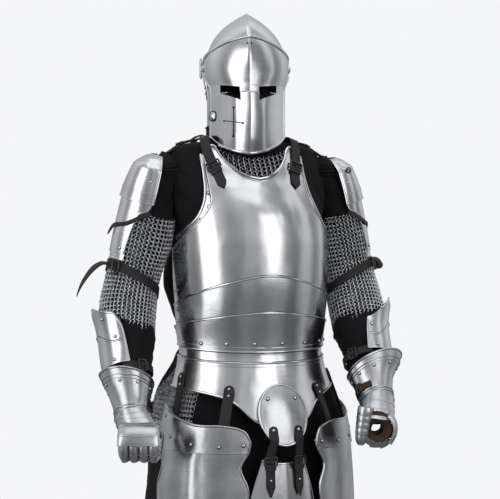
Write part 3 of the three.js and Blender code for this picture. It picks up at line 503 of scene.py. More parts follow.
def coatPoint(angle, z, offset=0.0):
    halfWidth, front, back = coatSections(z)
    t = math.radians(angle)
    s, c = math.sin(t), math.cos(t)
    if c >= 0:
        return onTrunk((halfWidth + offset) * s, -(front + offset) * c, z)
    behind = (90 - abs(((angle + 360) % 360) - 180)) / 62
    swell = coatFullness(z) * math.sin(math.pi * clamp(behind)) ** 2 + offset
    return onTrunk(halfWidth * math.copysign(abs(s) ** 0.8, s) + swell * s,
                   back * abs(c) ** 0.8 - swell * c, z)


def trunkAxis(z):
    return Vector((leanAt(z), 0, z))


def outOfTrunk(path):
    return [p - trunkAxis(p.z) for p in path]


# True inside the cuirass or the coat, grown by a margin.
def insideTrunk(p, margin=0.0):
    if p[2] > 1:
        return False
    x, y = p[0] - leanAt(p[2]), p[1]
    if y < 0:
        halfWidth, front = plateSections(p[2]) if p[2] < -90 else coatSections(p[2])[:2]
        return (x / (halfWidth + margin)) ** 2 + (y / (front + margin)) ** 2 < 1
    halfWidth, _, back = coatSections(p[2])
    return (abs(x) / (halfWidth + margin)) ** 2.5 + (y / (back + margin)) ** 2.5 < 1


sides = {"R": -1, "L": 1}


class Arm:
    def __init__(self, name, elbow, wrist, fist, grip):
        self.side = sides[name]
        self.wrist, self.fist, self.grip = Vector(wrist), Vector(fist), Vector(grip).normalized()
        shoulder = Vector((self.side * 203 + leanAt(-65), 0, -65))
        elbow = Vector(elbow)
        handles = [shoulder, shoulder.lerp(elbow, 0.9), self.wrist.lerp(elbow, 0.9), self.wrist]
        self.line = [sum((h * w for h, w in zip(handles, (
            (1 - t) ** 3, 3 * t * (1 - t) ** 2, 3 * t * t * (1 - t), t ** 3))), Vector()) for t in steps(400)]
        self.lengths = [0.0]
        for a, b in zip(self.line, self.line[1:]):
            self.lengths.append(self.lengths[-1] + (b - a).length)

    def at(self, s):
        place = clamp(s) * self.lengths[-1]
        low, high = 0, 400
        while high - low > 1:
            middle = (low + high) // 2
            if self.lengths[middle] <= place:
                low = middle
            else:
                high = middle
        t = (place - self.lengths[low]) / (self.lengths[high] - self.lengths[low])
        before, after = self.line[max(0, low - 2)], self.line[min(400, high + 2)]
        return self.line[low].lerp(self.line[high], t), (after - before).normalized()

    # Angle 0 is outward, 90 forward; below s = 0 the surface closes over the shoulder.
    def point(self, s, angle, offset=0.0, radius=None):
        place = clamp(s)
        centre, along = self.at(place)
        outward = Vector((self.side, 0, 0))
        outward = (outward - along * outward.dot(along)).normalized()
        forward = along.cross(outward) * self.side
        cap = math.radians(-s * 90) if s < 0 else 0.0
        r = ((radius or sleeveRadius)(place) + offset) * math.cos(cap)
        t = math.radians(angle)
        return (centre + outward * (r * math.cos(t)) + forward * (r * math.sin(t))
                - along * ((32 + offset) * math.sin(cap)))

    def facing(self, s, angle, offset=0.0):
        return (self.point(s, angle, offset + 5) - self.point(s, angle, offset)).normalized()


sleeveRadius = curve((0, 43), (0.09, 51), (0.25, 52.5), (0.4, 51), (0.54, 57), (0.68, 56), (0.8, 51),
                     (0.88, 42), (1, 33))
arms = {
    "R": Arm("R", (-283, 66, -372), (-288, -92, -596), (-283, -139, -645), (0.956, -0.292, 0)),
    "L": Arm("L", (261, 34, -349), (243, -157, -572), (225, -194, -623), (-0.292, -0.956, 0)),
}
# Shapes that differ between the two arms, in shares of the arm's length, degrees and millimetres.
armShapes = {
    "R": {"turn": 0, "front": (50, 70, 83), "brim": (0.566, 0.034), "lame": (0.672, 0.045),
          "cuff": (0.845, 0.026), "flare": 2, "forearmStrap": 0.812, "cuffStrap": 146, "thumb": 12,
          "shorter": (0, 5, 3, -4), "mailEnd": 0.642, "mailHem": 0.058, "wrist": 0,
          "tail": ((0, 0, 0), (-16, -1, 1), (-36, -2, -12), (-58, -3, -42), (-71, -4, -72))},
    "L": {"turn": 32, "front": (82, 94, 106), "brim": (0.553, 0.115), "lame": (0.664, 0.08),
          "cuff": (0.834, 0.036), "flare": 16, "forearmStrap": 0.8, "cuffStrap": 118, "thumb": 26,
          "shorter": (-4, 3, 5, 0), "mailEnd": 0.638, "mailHem": 0.045, "wrist": 8,
          "tail": ((0, 0, 0), (5, -2, 8), (12, -4, 6), (15, -6, -6), (8, -8, -16))},
}
cuffRadius = curve((0.78, 64), (0.82, 59), (0.86, 53), (0.92, 44), (0.96, 39.5), (1, 37.5))


helm = {
    "pivot": 165.0, "turn": -13.0, "place": Vector((-9, 3, 0)), "plate": 1.4,
    "skullRadius": 123.4, "skullHalfWidth": 89.4, "visorRadius": 129.2, "visorHalfWidth": 95.8,
    "sight": 101.0, "rim": 2.3, "brow": 3.9, "fitting": 0.6,
}
headMatrix = Matrix.Translation(helm["place"]) @ Matrix.Rotation(math.radians(helm["turn"]), 4, "Z")
headTurn = headMatrix.to_3x3()


def turnedRadius(x, radius, halfWidth, keel):
    q = min(1.0, abs(x) / halfWidth)
    return radius * (1 - (keel * q + (1 - keel) * q * q)) ** 0.45


def reach(angle, depth):
    s, c = abs(sine(angle)), abs(cosine(angle))
    low, high = 0.0, 260.0
    for _ in range(26):
        middle = (low + high) / 2
        if middle * c < depth(middle * s):
            low = middle
        else:
            high = middle
    return (low + high) / 2


def skullPoint(angle, z, lift=0.0):
    c = cosine(angle)
    rise = z - helm["pivot"]
    drop = 30 + 17 * c
    level = rise if rise > 0 else -drop * math.tanh(-rise / drop)
    nape = 1 + 0.1 * smooth(-c) * smooth(1 - rise / 90)
    r = lift + nape * reach(angle, lambda x: math.sqrt(max(0.0, turnedRadius(
        x, helm["skullRadius"], helm["skullHalfWidth"], 0.75) ** 2 - level ** 2)))
    return Vector((r * sine(angle), -r * c, z))


visorForward = curve((-32, 1.12), (0, 1.2), (50, 1.245), (90, 1.215), (101, 1.2))


def visorPoint(angle, z, lift=0.0):
    rise = z - helm["pivot"]
    level = rise if rise > 0 else max(rise, -45)
    keel = lerp(0.45, 0.75, smooth((z - 110) / 90))
    brow = 1 + 0.07 * smooth((150 - z) / 45)
    forward = lerp(brow, visorForward(z), smooth((helm["sight"] - z) / 3))

    def depth(x):
        radius = turnedRadius(x, helm["visorRadius"], helm["visorHalfWidth"], keel)
        return lerp(1, forward, smooth(1.5 - x / 55)) * math.sqrt(max(0.0, radius ** 2 - level ** 2))
    r = lift + reach(angle, depth)
    return Vector((r * sine(angle), -r * cosine(angle), z))


def skullRim(angle):
    return 35 - 32 * smooth((abs(angle) - 105) / 60)


def visorTop(u):
    return 221 - 34 * abs(u) ** 1.7


def visorFoot(u):
    return -33 + 42 * abs(u) ** 1.35


def visorSide(z):
    return 61 + 41 * bump(z, helm["pivot"], 27)


def ofHead(points):
    return [headMatrix @ Vector(tuple(p)) for p in points]


# Cuts the tools out of a piece; the smooth shading of the uncut plate is carried over.
def pierce(obj, outlines):
    tools = bpy.data.meshes.new("tools")
    points, faces = [], []
    for outline in outlines:
        count, base = len(outline), len(points)
        for y in (-0.25, -0.03):
            points += [tuple(headMatrix @ Vector((x, y * 1000, z))) for x, z in outline]
        faces.append(tuple(base + k for k in range(count)))
        faces.append(tuple(base + count + k for k in reversed(range(count))))
        faces += [(base + k, base + count + k, base + count + (k + 1) % count, base + (k + 1) % count)
                  for k in range(count)]
    tools.from_pydata([tuple(c * 0.001 for c in p) for p in points], [], faces)
    tools.update()
    cutter = bpy.data.objects.new("cutter", tools)
    uncut = bpy.data.objects.new("uncut", obj.data.copy())
    for o in (cutter, uncut):
        bpy.context.scene.collection.objects.link(o)
    cut = obj.modifiers.new("cut", "BOOLEAN")
    cut.operation, cut.solver, cut.object = "DIFFERENCE", "EXACT", cutter
    cut.use_self = True
    shade = obj.modifiers.new("shade", "DATA_TRANSFER")
    shade.object, shade.use_loop_data = uncut, True
    shade.data_types_loops, shade.loop_mapping = {"CUSTOM_NORMAL"}, "POLYINTERP_NEAREST"
    shade.max_distance, shade.use_max_distance = 0.0002, True
    mesh = bpy.data.meshes.new_from_object(obj.evaluated_get(bpy.context.evaluated_depsgraph_get()))
    obj.modifiers.clear()
    obj.data = mesh
    for o in (cutter, uncut):
        bpy.data.objects.remove(o)
    return obj


def counterClockwise(outline):
    area = sum(a[0] * b[1] - b[0] * a[1] for a, b in zip(outline, outline[1:] + outline[:1]))
    return outline if area > 0 else outline[::-1]


def circle(x, z, radius, count=12):
    return [(x + radius * math.cos(2 * math.pi * k / count), z + radius * math.sin(2 * math.pi * k / count))
            for k in range(count)]


# A blackened bead that paints the shade in the gap where one plate ends on another, in a groove, or round a
# fitting's foot.
def paintedGapShade(name, path, facing, radius=0.75, body="suit"):
    piece = Piece(name)
    piece.bead(path, radius, facing, 0.8, sides=6)
    piece.build(finishes["blackened"], body)


def headAxis(z):
    return headMatrix @ Vector((0, 0, z))


# Round fittings are turned from [radius, height] steps, across `side` and `up` and outward along `out`.
def turnedHead(name, seat, out, side, up, turnings, top, node):
    piece = Piece(name)
    rows = [ofHead(seat + out * h + side * (r * sine(a)) + up * (r * cosine(a)) for a in degreesRound(24))
            for r, h in turnings]
    piece.wall(rows, helm["fitting"], headAxis(helm["pivot"]), closed=True,
               pole=headMatrix @ (seat + out * top))
    piece.build(finishes["plate"], "visor", [node])


def makeSkull():
    plate = finishes["plate"]
    crown = helm["pivot"] + helm["skullRadius"]
    skull = Piece("helmetSkull")
    rows = [ofHead(skullPoint(a, lerp(skullRim(a), crown - 0.5, 1 - (1 - v) ** 1.9))
                   for a in steps(120, -180, 180)[:-1]) for v in steps(64)]
    skull.wall(rows, helm["plate"], headAxis(helm["pivot"]), closed=True, pole=headAxis(crown))
    skull = skull.build(plate, replaces=["helmet_skull"], sharp=60)
    # The face opening is straight at the sides and arched at the top.
    half, foot, spring, arch = 71, -20, 162, 202
    opening = [(-half, foot), (half, foot), (half, spring)]
    opening += [(half * (1 - t) ** 2 + 2 * half * t * (1 - t),
                 spring * (1 - t) ** 2 + 2 * arch * t * (1 - t) + arch * t * t) for t in steps(10)[1:]]
    opening += [(-x, z) for x, z in opening[-2:1:-1]]
    pierce(skull, [counterClockwise(opening)])

    # A turned lower rim, the crown's joint from temple to temple, and the keel over the top.
    trim = Piece("skullRims")
    low = [(a, skullRim(a)) for a in steps(90, 62, 298)]
    trim.bead(ofHead(skullPoint(a if a < 180 else a - 360, z + 1.5, 0.8) for a, z in low), helm["rim"])
    temple = [(83, lerp(120, crown - 6, 1 - (1 - v) ** 2)) for v in steps(40)]
    over = [skullPoint(a, z, 0.2) for a, z in temple] + [skullPoint(-a, z, 0.2) for a, z in reversed(temple)]
    trim.bead(ofHead(over), 1.1)
    keel = [skullPoint(0, z, 0.0) for z in steps(24, 205, crown - 2)]
    keel += [skullPoint(180, z, 0.0) for z in steps(40, crown - 4, 120)]
    trim.bead(ofHead(keel), 0.9)
    trim.build(plate)


def makeVisor():
    plate = finishes["plate"]
    visor = Piece("visorPlate")
    # Rows are close together at the step below the sights.
    levels = steps(34, 0, 0.5) + steps(16, 0.505, 0.545) + steps(32, 0.56, 1)
    grid = [ofHead(visorPoint(u * visorSide(z), z) for u, z in (
        (u, lerp(visorFoot(u), visorTop(u), v)) for u in steps(96, -1, 1))) for v in levels]
    sheet = visor.wall(grid, helm["plate"], headAxis(90))
    visor = visor.build(plate, "visor", ["visor"], sharp=60)
    sights = [[(side * x, z) for x, z in ((21, 112), (20, 81), (40, 90), (61, 100), (62, 119))]
              for side in (-1, 1)]
    slots = [[(-36.2, 65), (-33.8, 66), (-33.8, 4), (-36.2, 4)],
             [(-54, 38), (-54, 40.3), (-16, 32), (-16, 29.7)]]
    holes = [circle(-35, 66, 2.6), circle(-35, 4, 2.6), circle(-54, 39, 2.6), circle(-16, 31, 2.6),
             circle(-4.4, 206, 2.2, 10), circle(4.2, 206, 2.2, 10)]
    pierce(visor, [counterClockwise(outline) for outline in (*sights, *slots, *holes)])

    edges = Piece("visorRims")
    edges.rolled(sheet, ["high"], helm["brow"], 0.7, 0.9)
    edges.rolled(sheet, ["low"], 3.2, 0.85, 0.6)
    edges.rolled(sheet, ["first", "last"], 2.6, 0.9, 0.5)
    for levels, radius in ((steps(60, 98, visorTop(0) - 2), 0.8), (steps(50, visorFoot(0) + 2, 97), 1.0)):
        edges.bead(ofHead(visorPoint(0, z, 0.1) for z in levels), radius)
    for start, end in ((-36, -24.5), (-7, 7), (24.5, 36)):
        edges.bead(ofHead(visorPoint(x, helm["sight"] - 0.4, 0.5) for x in steps(16, start, end)), 1.4)
    edges.build(plate, "visor")


# On the wearer's right a leaf on the visor meets upright knuckles on the skull; a pin turns at each temple.
def makeHinge():
    leafWidth = curve((0, 5.5), (0.3, 9), (1, 1.2))
    leaf = Piece("visorHingeLeaf")
    grid = [ofHead(visorPoint(22 * v - 97 + x * leafWidth(v) * 0.55, lerp(176, 92, v), 2.0)
                   for x in steps(6, -1, 1)) for v in steps(14)]
    leaf.wall(grid, 1.6, headAxis(helm["pivot"]))
    leaf.build(finishes["plate"], "visor")
    for name, side in sides.items():
        turnedHead("visorPin" + name, Vector((side * (helm["visorHalfWidth"] + 0.4), 0, helm["pivot"])),
                   Vector((side, 0, 0)), Vector((0, 1, 0)), Vector((0, 0, 1)),
                   ((9.2, -1.0), (9.2, 1.4), (8.0, 2.6), (5.0, 4.2), (2.2, 5.0)), 5.4, "visor_pin_" + name)
    knuckles = Piece("skullHinge")
    for low, high in ((148, 160), (162, 174), (176, 188)):
        knuckles.bead(ofHead((-100.5, 17, z) for z in steps(3, low, high)), 3.6, sides=12)
    knuckles.bead(ofHead((-100.5, 17, z) for z in steps(3, 145, 191)), 2.0, sides=10)
    knuckles.build(finishes["plate"])
    spots = [(headMatrix @ visorPoint(a, z, 2.4), headTurn @ Vector((sine(a), -cosine(a) * 0.6, 0)))
             for a, z in ((-88, 122), (-82, 108), (-93, 150))]
    rivets("visorHingeRivets", spots, 2.6, 1.5, body="visor")


def makeCatch():
    out, side, up = Vector((-0.8, -0.6, 0)), Vector((0.6, -0.8, 0)), Vector((0, 0, 1))
    seat = visorPoint(-50.5, 53) + out * 1.6
    turnedHead("visorCatch", seat, out, side, up,
               ((10.4, -1.5), (10.4, 0.8), (8.8, 2.6), (6.2, 3.4), (4.6, 4.6), (2.2, 5.8)), 6.2,
               "visor_latch")
    # A blackened ring round the catch's foot paints the shade where it meets the visor.
    gap = 11.2
    foot = ofHead(seat + out * 1.2 + side * (gap * sine(a)) + up * (gap * cosine(a))
                  for a in steps(32, 0, 360))
    paintedGapShade("catchFootShade", foot, [headTurn @ out] * len(foot), 1.0, "visor")
    catch = Piece("skullCatch")
    grid = [ofHead(skullPoint(-70 - 9 * v * math.cos(t), 52 + 20 * math.sin(t), 1.6)
                   for t in steps(12, -1.35, 1.35)) for v in steps(3, 0.35, 1.0)]
    catch.wall(grid, 1.2, headAxis(helm["pivot"]))
    catch.build(finishes["plate"])


makeSkull()
makeVisor()
makeHinge()
makeCatch()
print("helmet made")


# `cut` is the flat width and length of each piece of cloth.
coat = {"thickness": 2.4, "columns": 80, "bodyRows": 74, "skirtRows": 62, "creases": 2.6, "drape": 7.0,
        "bodyTop": 1.0, "skirtTop": waistHeight - 0.3, "seam": 0.04,
        "cut": {"body": (620, 560), "skirt": (760, 450), "sleeve": (360, 730), "collar": (540, 40)}}


def wrinkle(p, scale, stretch=(1, 1, 1)):
    return noise.noise(Vector((p[0] * stretch[0], p[1] * stretch[1], p[2] * stretch[2])) * scale)


# The form that the coat hangs to. On the wearer's left hip it is bunched out over the mail's front edge.
def coatForm(angle, z, lift):
    turn = ((angle + 180) % 360) - 180
    wide = abs(coatPoint(angle, z).x + 14)
    fuller = 14 * smooth((-500 - z) / 90) * bump(abs(turn), 92, 34)
    fuller += 5.5 * bump(z, -10, 16) * smooth((wide - 96) / 26)
    bunched = bump(max(turn, 72) - 72, 0, 13) * smooth((turn - 50) / 18)
    bunched *= smooth((-492 - z) / 46) * smooth((z + 690) / 60)
    return coatPoint(angle, z, fuller + lift).lerp(platePoint(angle, z, 4.6 + 0.4 * lift), bunched)


# The skin lies in folds; under the plates and the mail they only go inwards.
def coatSkin(angle, z):
    turn = ((angle + 180) % 360) - 180
    p = coatPoint(angle, z)
    free = 1.0 if abs(turn) > 112 or z < -650 else 0.0
    creases = coat["creases"] * (wrinkle(p, 0.035, (1, 1, 0.35)) + 0.5 * wrinkle(p, 0.09, (1, 1, 0.5)))
    drape = coat["drape"] * smooth((-500 - z) / 330)
    drape *= math.sin(math.radians(turn) * 9 + 1.3 * wrinkle(p, 0.006))
    gather = 1.6 * bump(z, waistHeight, 26) * math.sin(math.radians(turn) * 26)
    depth = creases + gather + drape
    crease = 1 - abs(math.sin(math.radians(turn) * 4.2 + z * 0.032 + 1.8 * wrinkle(p, 0.011)))
    armpit = bump(abs(turn), 68, 26) * smooth((-14 - z) / 30) * smooth((z + 250) / 60)
    return coatForm(angle, z, (depth if free else -abs(depth) - 0.4) - 5 * armpit * crease ** 2)


# The sleeve hangs loose towards the trunk on the wearer's right.
def slack(arm, s, angle):
    if arm.side > 0:
        return 0.0
    return 15 * bump(s, 0.27, 0.15) * smooth(cosine(angle - 158) * 1.2)


def sewn(piece, node, cut):
    obj = piece.build(finishes["cloth"], replaces=[node], slot="black_cloth")
    flat = tuple(size * 0.001 for size in coat["cut"][cut])
    min(piece.area * 1e-6, flat[0] * flat[1])


# The trunk's cloth is open where the sleeves come out.
def pastArmholes(a, c):
    p = (a + c) / 2
    for arm in arms.values():
        centre, along = arm.at(0.0)
        away = Vector(tuple(p)) - centre
        if away.dot(along) > -8 and (away - along * away.dot(along)).length < 44:
            return False
    return True


def makeTrunkCloth():
    for name, start, end in (("Front", -90.0, 90.0), ("Back", 90.0, 270.0)):
        angles = steps(coat["columns"], start + coat["seam"], end - coat["seam"])
        body = Piece("coat" + name)
        rows = [[coatSkin(a, z) for a in angles]
                for z in (lerp(waistHeight, coat["bodyTop"], v ** 0.9) for v in steps(coat["bodyRows"]))]
        body.wall(rows, coat["thickness"], trunkAxis(-250), keepFace=pastArmholes)
        sewn(body, "coat_" + name.lower(), "body")
        skirt = Piece("coatSkirt" + name)
        rows = [[coatSkin(a, z) for a in angles]
                for z in steps(coat["skirtRows"], hemHeight, coat["skirtTop"])]
        skirt.wall(rows, coat["thickness"], trunkAxis(-600))
        sewn(skirt, "coat_skirt_" + name.lower(), "skirt")
    hem = Piece("coatHemStitches")
    hem.bead([coatSkin(a, hemHeight + 14) for a in steps(160, -90, 270)][:-1], 0.55, closed=True, sides=5)
    hem.build(finishes["cloth"], slot="black_cloth")


# Folds stand up only where the forearm is bare; elsewhere they go inwards, under the mail and the plates.
def sleeveSkin(name, arm, s, angle):
    p = arm.point(s, angle)
    bare = smooth((s - 0.6) / 0.03) * smooth((0.9 - s) / 0.04)
    rounds = 2.0 * math.sin(s * 150 + 2.2 * wrinkle(p, 0.02)) * (0.5 + 0.5 * wrinkle(p, 0.03))
    depth = 4.2 * wrinkle(p, 0.028, (1, 1, 0.8)) + rounds + 1.4 * wrinkle(p, 0.09)
    depth += 9 * bump(s, 0.675, 0.05) * smooth(cosine(angle - 163))
    shape = 12 * smooth((0.14 - s) / 0.35) * smooth((0.15 - cosine(angle)) / 0.5)
    shape += slack(arm, s, angle) - armShapes[name]["wrist"] * smooth((s - 0.74) / 0.1)
    crease = 1 - abs(math.sin(math.radians(angle) * 3.1 + s * 27 + 1.7 * wrinkle(p, 0.012)))
    shape -= 5.5 * smooth((0.175 - s) / 0.05) * smooth((s + 0.45) / 0.2) * crease ** 2
    hidden = -0.25 * abs(depth) * (1 + bump(s, 0.5, 0.12)) - 0.2
    return arm.point(s, angle, shape + lerp(hidden, depth, bare))


def makeSleeves():
    for name, arm in arms.items():
        sleeve = Piece("coatSleeve" + name)
        rows = [[sleeveSkin(name, arm, s, a) for a in degreesRound(60)] for s in steps(92, 1.0, -0.86)]
        centre, along = arm.at(0.0)
        sleeve.wall(rows, coat["thickness"], arm.at(0.5)[0], closed=True, pole=centre - along * 33,
                    keepFace=lambda a, c: not insideTrunk((a + c) / 2, -4))
        sewn(sleeve, "coat_sleeve_" + name, "sleeve")


def makeCollar():
    collar = Piece("coatCollar")
    rows = []
    for z in steps(8, 1.3, 32):
        rise = (z - 1) / 31
        row = []
        for a in degreesRound(88):
            c = cosine(a)
            depth = lerp(58, 62, rise) if c > 0 else lerp(74, 79, rise)
            droop = 16 * c * c * rise if c > 0 else 0
            row.append(Vector((86 * sine(a) + leanAt(z), -depth * c, z - droop)))
        rows.append(row)
    sheet = collar.wall(rows, coat["thickness"], trunkAxis(0), closed=True)
    sewn(collar, "coat_collar", "collar")
    binding = Piece("collarBinding")
    binding.bead(sheet[0][-1], 2.0, closed=True)
    binding.build(finishes["cloth"], slot="black_cloth")


makeTrunkCloth()
makeSleeves()
makeCollar()
print("coat made")


rings = {"radius": 5.0, "wire": 0.92, "across": 8.4, "down": 5.15, "tilt": 48.0, "slant": 26.0, "lift": 2.0,
         "jitter": 10.0, "sleeveTop": 0.172, "sleeveSpare": 0.066}


# Rows of rings over point(u, v, lift), each row tilted the other way and half a ring across.
def linked(name, nodes, point, acrossLength, downLength, wanted=None, closed=False):
    chance = random.Random(7)
    columns, rows = round(acrossLength / rings["across"]), round(downLength / rings["down"])
    points, turns = [], []
    for j in range(rows):
        v = (j + 0.5) / rows
        way = 1 if j % 2 else -1
        for i in range(columns):
            u = (i + 0.25 + 0.25 * way) / columns if closed else (i + 0.5 + 0.25 * way) / columns
            p = point(u, v, rings["lift"])
            if wanted and not wanted(u, v, p):
                continue
            down = (point(u, v + 0.004, rings["lift"]) - point(u, v - 0.004, rings["lift"])).normalized()
            out = point(u, v, rings["lift"] + 4) - p
            out = (out - down * out.dot(down)).normalized()
            across = down.cross(out)
            basis = Matrix((across, down, out)).transposed()
            tilt = way * rings["tilt"] + chance.uniform(-1, 1) * rings["jitter"]
            lean = chance.uniform(-1, 1) * rings["jitter"]
            for degrees, axis in ((way * rings["slant"], "Z"), (tilt, "Y"), (lean, "X")):
                basis = basis @ Matrix.Rotation(math.radians(degrees), 3, axis)
            points.append(p)
            turns.append(tuple(basis.to_euler()))
    obj = grown(name, points, "turn", turns, ringTree,
                {"Radius": rings["radius"] * 0.001, "Wire": rings["wire"] * 0.001}, finishes["mail"])
    onSuit(obj, finishes["mail"], "suit", nodes)
    print(name, len(points), "rings")


def makeCollarMail():
    def bib(u, v, lift):
        t = 2 * u - 1
        return coatPoint(t * 32, lerp(-16 - 26 * (1 - abs(t) ** 1.4), -122, v), lift)
    linked("mailCollar", ["mail_collar"], bib, 150, 96)


# On the wearer's left the coat hides the front of the hip mail.
def makeHipMail(name, side):
    def hip(u, v, lift):
        z = lerp(-374, -638, v)
        rear = lerp(98, 110, smooth((-480 - z) / 90))
        return coatForm(side * lerp(60, rear, u), z, lift)

    def shown(u, v, _):
        return v < 0.985 + 0.02 * math.sin(u * 40) and (side < 0 or u > 0.56)
    linked("mailHip" + name, ["mail_hip_" + name], hip, 150, 264, shown)


def makeSleeveMail(name, arm):
    top, end, hem = rings["sleeveTop"], armShapes[name]["mailEnd"], armShapes[name]["mailHem"]
    foot = end + rings["sleeveSpare"]

    def sleeve(u, v, lift):
        s = lerp(top, foot, v)
        return arm.point(s, u * 360, lift + slack(arm, s, u * 360))

    def shown(u, v, p):
        ragged = 0.006 * math.sin(u * 61) + 0.004 * math.sin(u * 143)
        return lerp(top, foot, v) < end - hem * cosine(u * 360) + ragged and not insideTrunk(p, -3)
    linked("mailSleeve" + name, ["mail_sleeve_" + name], sleeve, 345, arm.lengths[-1] * (foot - top), shown,
           closed=True)


makeCollarMail()
for name, arm in arms.items():
    makeHipMail(name, arm.side)
    makeSleeveMail(name, arm)
print("mail made")


cuirass = {"keel": 1.0, "rim": 3.4, "plate": 1.4, "halfAngle": 92.0, "layer": 2.4}
neckline = curve((0, -86), (0.21, -80), (0.43, -65), (0.62, -40), (0.74, -16), (0.86, -14), (1, -30))
fauldHem = curve((0, -628), (0.18, -604), (0.3, -571), (0.43, -554), (0.65, -543), (1, -538))
gussetOuter = curve((-30, 43), (-80, 42.5), (-132, 46), (-169, 55), (-195, 70), (-206, 80), (-213, 90))


# 0 at the middle and 1 at the sides, rounded at the middle.
def arched(u, power):
    low = 0.03 ** (power / 2)
    return ((u * u + 0.03) ** (power / 2) - low) / (1.03 ** (power / 2) - low)


def breastAngle(z):
    rise = clamp((-130 - z) / 106) ** 1.5
    return 92 - 53 * (1 - rise) ** 0.75


def keelLift(angle, z):
    return cuirass["keel"] * bump(angle, 0, 5.5) * smooth((-110 - z) / 60) * smooth((z + 640) / 90)


# A plate round the front of the trunk between two edges; `rims` maps edges to bead radii.
def trunkPlate(name, node, low, high, offset, rims, rows=26, columns=84, halfAngle=None):
    piece = Piece(name)
    grid = []
    for v in steps(rows):
        row = []
        for u in steps(columns, -1, 1):
            z = lerp(low(u), high(u), v)
            angle = u * (halfAngle(z) if halfAngle else cuirass["halfAngle"])
            row.append(platePoint(angle, z, offset + keelLift(angle, z)))
        grid.append(row)
    sheet = piece.wall(grid, cuirass["plate"], trunkAxis(-300))
    for edge, radius in rims.items():
        piece.rolled(sheet, [edge], radius, 0.9, 0.6)
    piece.build(finishes["plate"], replaces=[node])


def trunkPath(edge, offset):
    return [platePoint(u * cuirass["halfAngle"], edge(u), offset) for u in steps(90, -1, 1)]


# A low ridge raised along a plate.
def ridge(name, path, radius, facing, flat=0.7):
    piece = Piece(name)
    piece.bead(path, radius, facing, flat)
    piece.build(finishes["plate"])


def discFrame():
    height = -592
    up = (platePoint(0, height + 60) - platePoint(0, height - 60)).normalized()
    right = (onTrunk(1, 0, height) - onTrunk(0, 0, height)).normalized()
    out = right.cross(up).normalized()
    return platePoint(0, height, 9), right, up, out if out.y < 0 else -out


# Edges of the lames at a share u of the way round to each side.
def lameEdge(middle, drop):
    return lambda u: middle - drop * arched(u, 0.95)


def swept(height, rise=12):
    return lambda u: height + rise * u * u


def makeBreast():
    trunkPlate("breastPlate", "breastplate", lambda u: -384, lambda u: neckline(abs(u)), 0,
               {"high": cuirass["rim"], "first": 1.2, "last": 1.2}, rows=72, columns=96,
               halfAngle=breastAngle)
    for name, side in sides.items():
        gusset = Piece("gusset" + name)
        grid = []
        for v in steps(48):
            high = lerp(-213, -32, v)
            low = high - 46 * (1 - v) ** 1.5
            grid.append([platePoint(side * lerp(min(breastAngle(low) - 5, 86), gussetOuter(high), u),
                                    lerp(low, high, u), lerp(-6.3, -4.5, v)) for u in steps(10)])
        sheet = gusset.wall(grid, cuirass["plate"], trunkAxis(-150))
        gusset.rolled(sheet, ["last"], 3.2, 0.8, 0.4)
        gusset.build(finishes["plate"], replaces=["gusset_" + name])
        levels = steps(60, -40, -232)
        path = [platePoint(side * (breastAngle(z) - 0.2), z, 0.4) for z in levels]
        ridge("armholeEdge" + name, path, 2.0, outOfTrunk(path), 0.8)
        # A blackened bead under the armhole's edge paints the shade where the breastplate lies over the
        # gusset.
        path = [platePoint(side * (breastAngle(z) + 1.2), z, -3.2) for z in levels]
        paintedGapShade("armholeGapShade" + name, path, outOfTrunk(path), 0.8)

    # A ridge runs along the neckline inside its rolled rim, and a blackened bead beside it paints the shade
    # of a groove.
    def inset(depth, lift):
        edge = [(u, neckline(abs(u)) - depth) for u in steps(110, -0.86, 0.86)]
        return [platePoint(u * 0.985 * breastAngle(z), z, lift) for u, z in edge]
    path = inset(7.2, 0.35)
    ridge("neckLine", path, 1.0, outOfTrunk(path))
    # The blackened bead paints the groove's shade.
    path = inset(4.2, 0.0)
    paintedGapShade("neckGrooveShade", path, outOfTrunk(path), 0.6)


def makeLames():
    layer = cuirass["layer"]
    bellyTop, plackartTop = lameEdge(-297, 66), lameEdge(-376, 32)
    trunkPlate("bellyLame", "belly_lame", lambda u: -412, bellyTop, layer, {"high": 2.2})
    trunkPlate("plackart", "plackart", swept(-461), plackartTop, 2 * layer, {"high": 2.2, "low": 2.4})
    trunkPlate("waistLame", "waist_lame", swept(-496, 10), swept(-446), layer, {"low": 1.5}, rows=10)
    trunkPlate("fauldPlate", "fauld", lambda u: fauldHem(abs(u)), swept(-485), 2 * layer + 0.4,
               {"high": 2.0, "low": 2.6}, rows=30)
    for name, edge, offset, radius in (("plackartLine", swept(-452), 0.2, 1.1),
                                       ("fauldLine", swept(-493), 0.6, 0.9)):
        path = trunkPath(edge, 2 * layer + offset)
        ridge(name, path, radius, outOfTrunk(path))
    # Blackened beads along the lames' edges paint the shade in the gaps between the plates.
    under = layer + 0.3
    for name, edge, gap, offset in (
            ("bellyGapShade", bellyTop, 2.7, 0.5), ("plackartGapShade", plackartTop, 2.7, under),
            ("plackartFootShade", swept(-461), -2.8, under), ("fauldGapShade", swept(-485), 2.6, under)):
        path = trunkPath(lambda u: edge(u) + gap, offset)
        paintedGapShade(name, path, outOfTrunk(path))
    spots = [(angle, -443, 2 * layer + 1.2) for angle in (10.7, 32, 54, 76)]
    spots += [(84, -372, layer + 1.4), (85, -398, 2 * layer + 1.2), (84, -330, layer + 1.4), (38, -60, 0.9),
              (41.5, -118, -3.6), (43, -148, -3.8), (52, -176, -4.2)]
    both = [(side * a, z, lift) for a, z, lift in spots for side in (-1, 1)]
    rivets("trunkRivets", [(platePoint(a, z, lift), platePoint(a, z, 40) - platePoint(a, z, 0))
                           for a, z, lift in both], 3.9, 2.2)


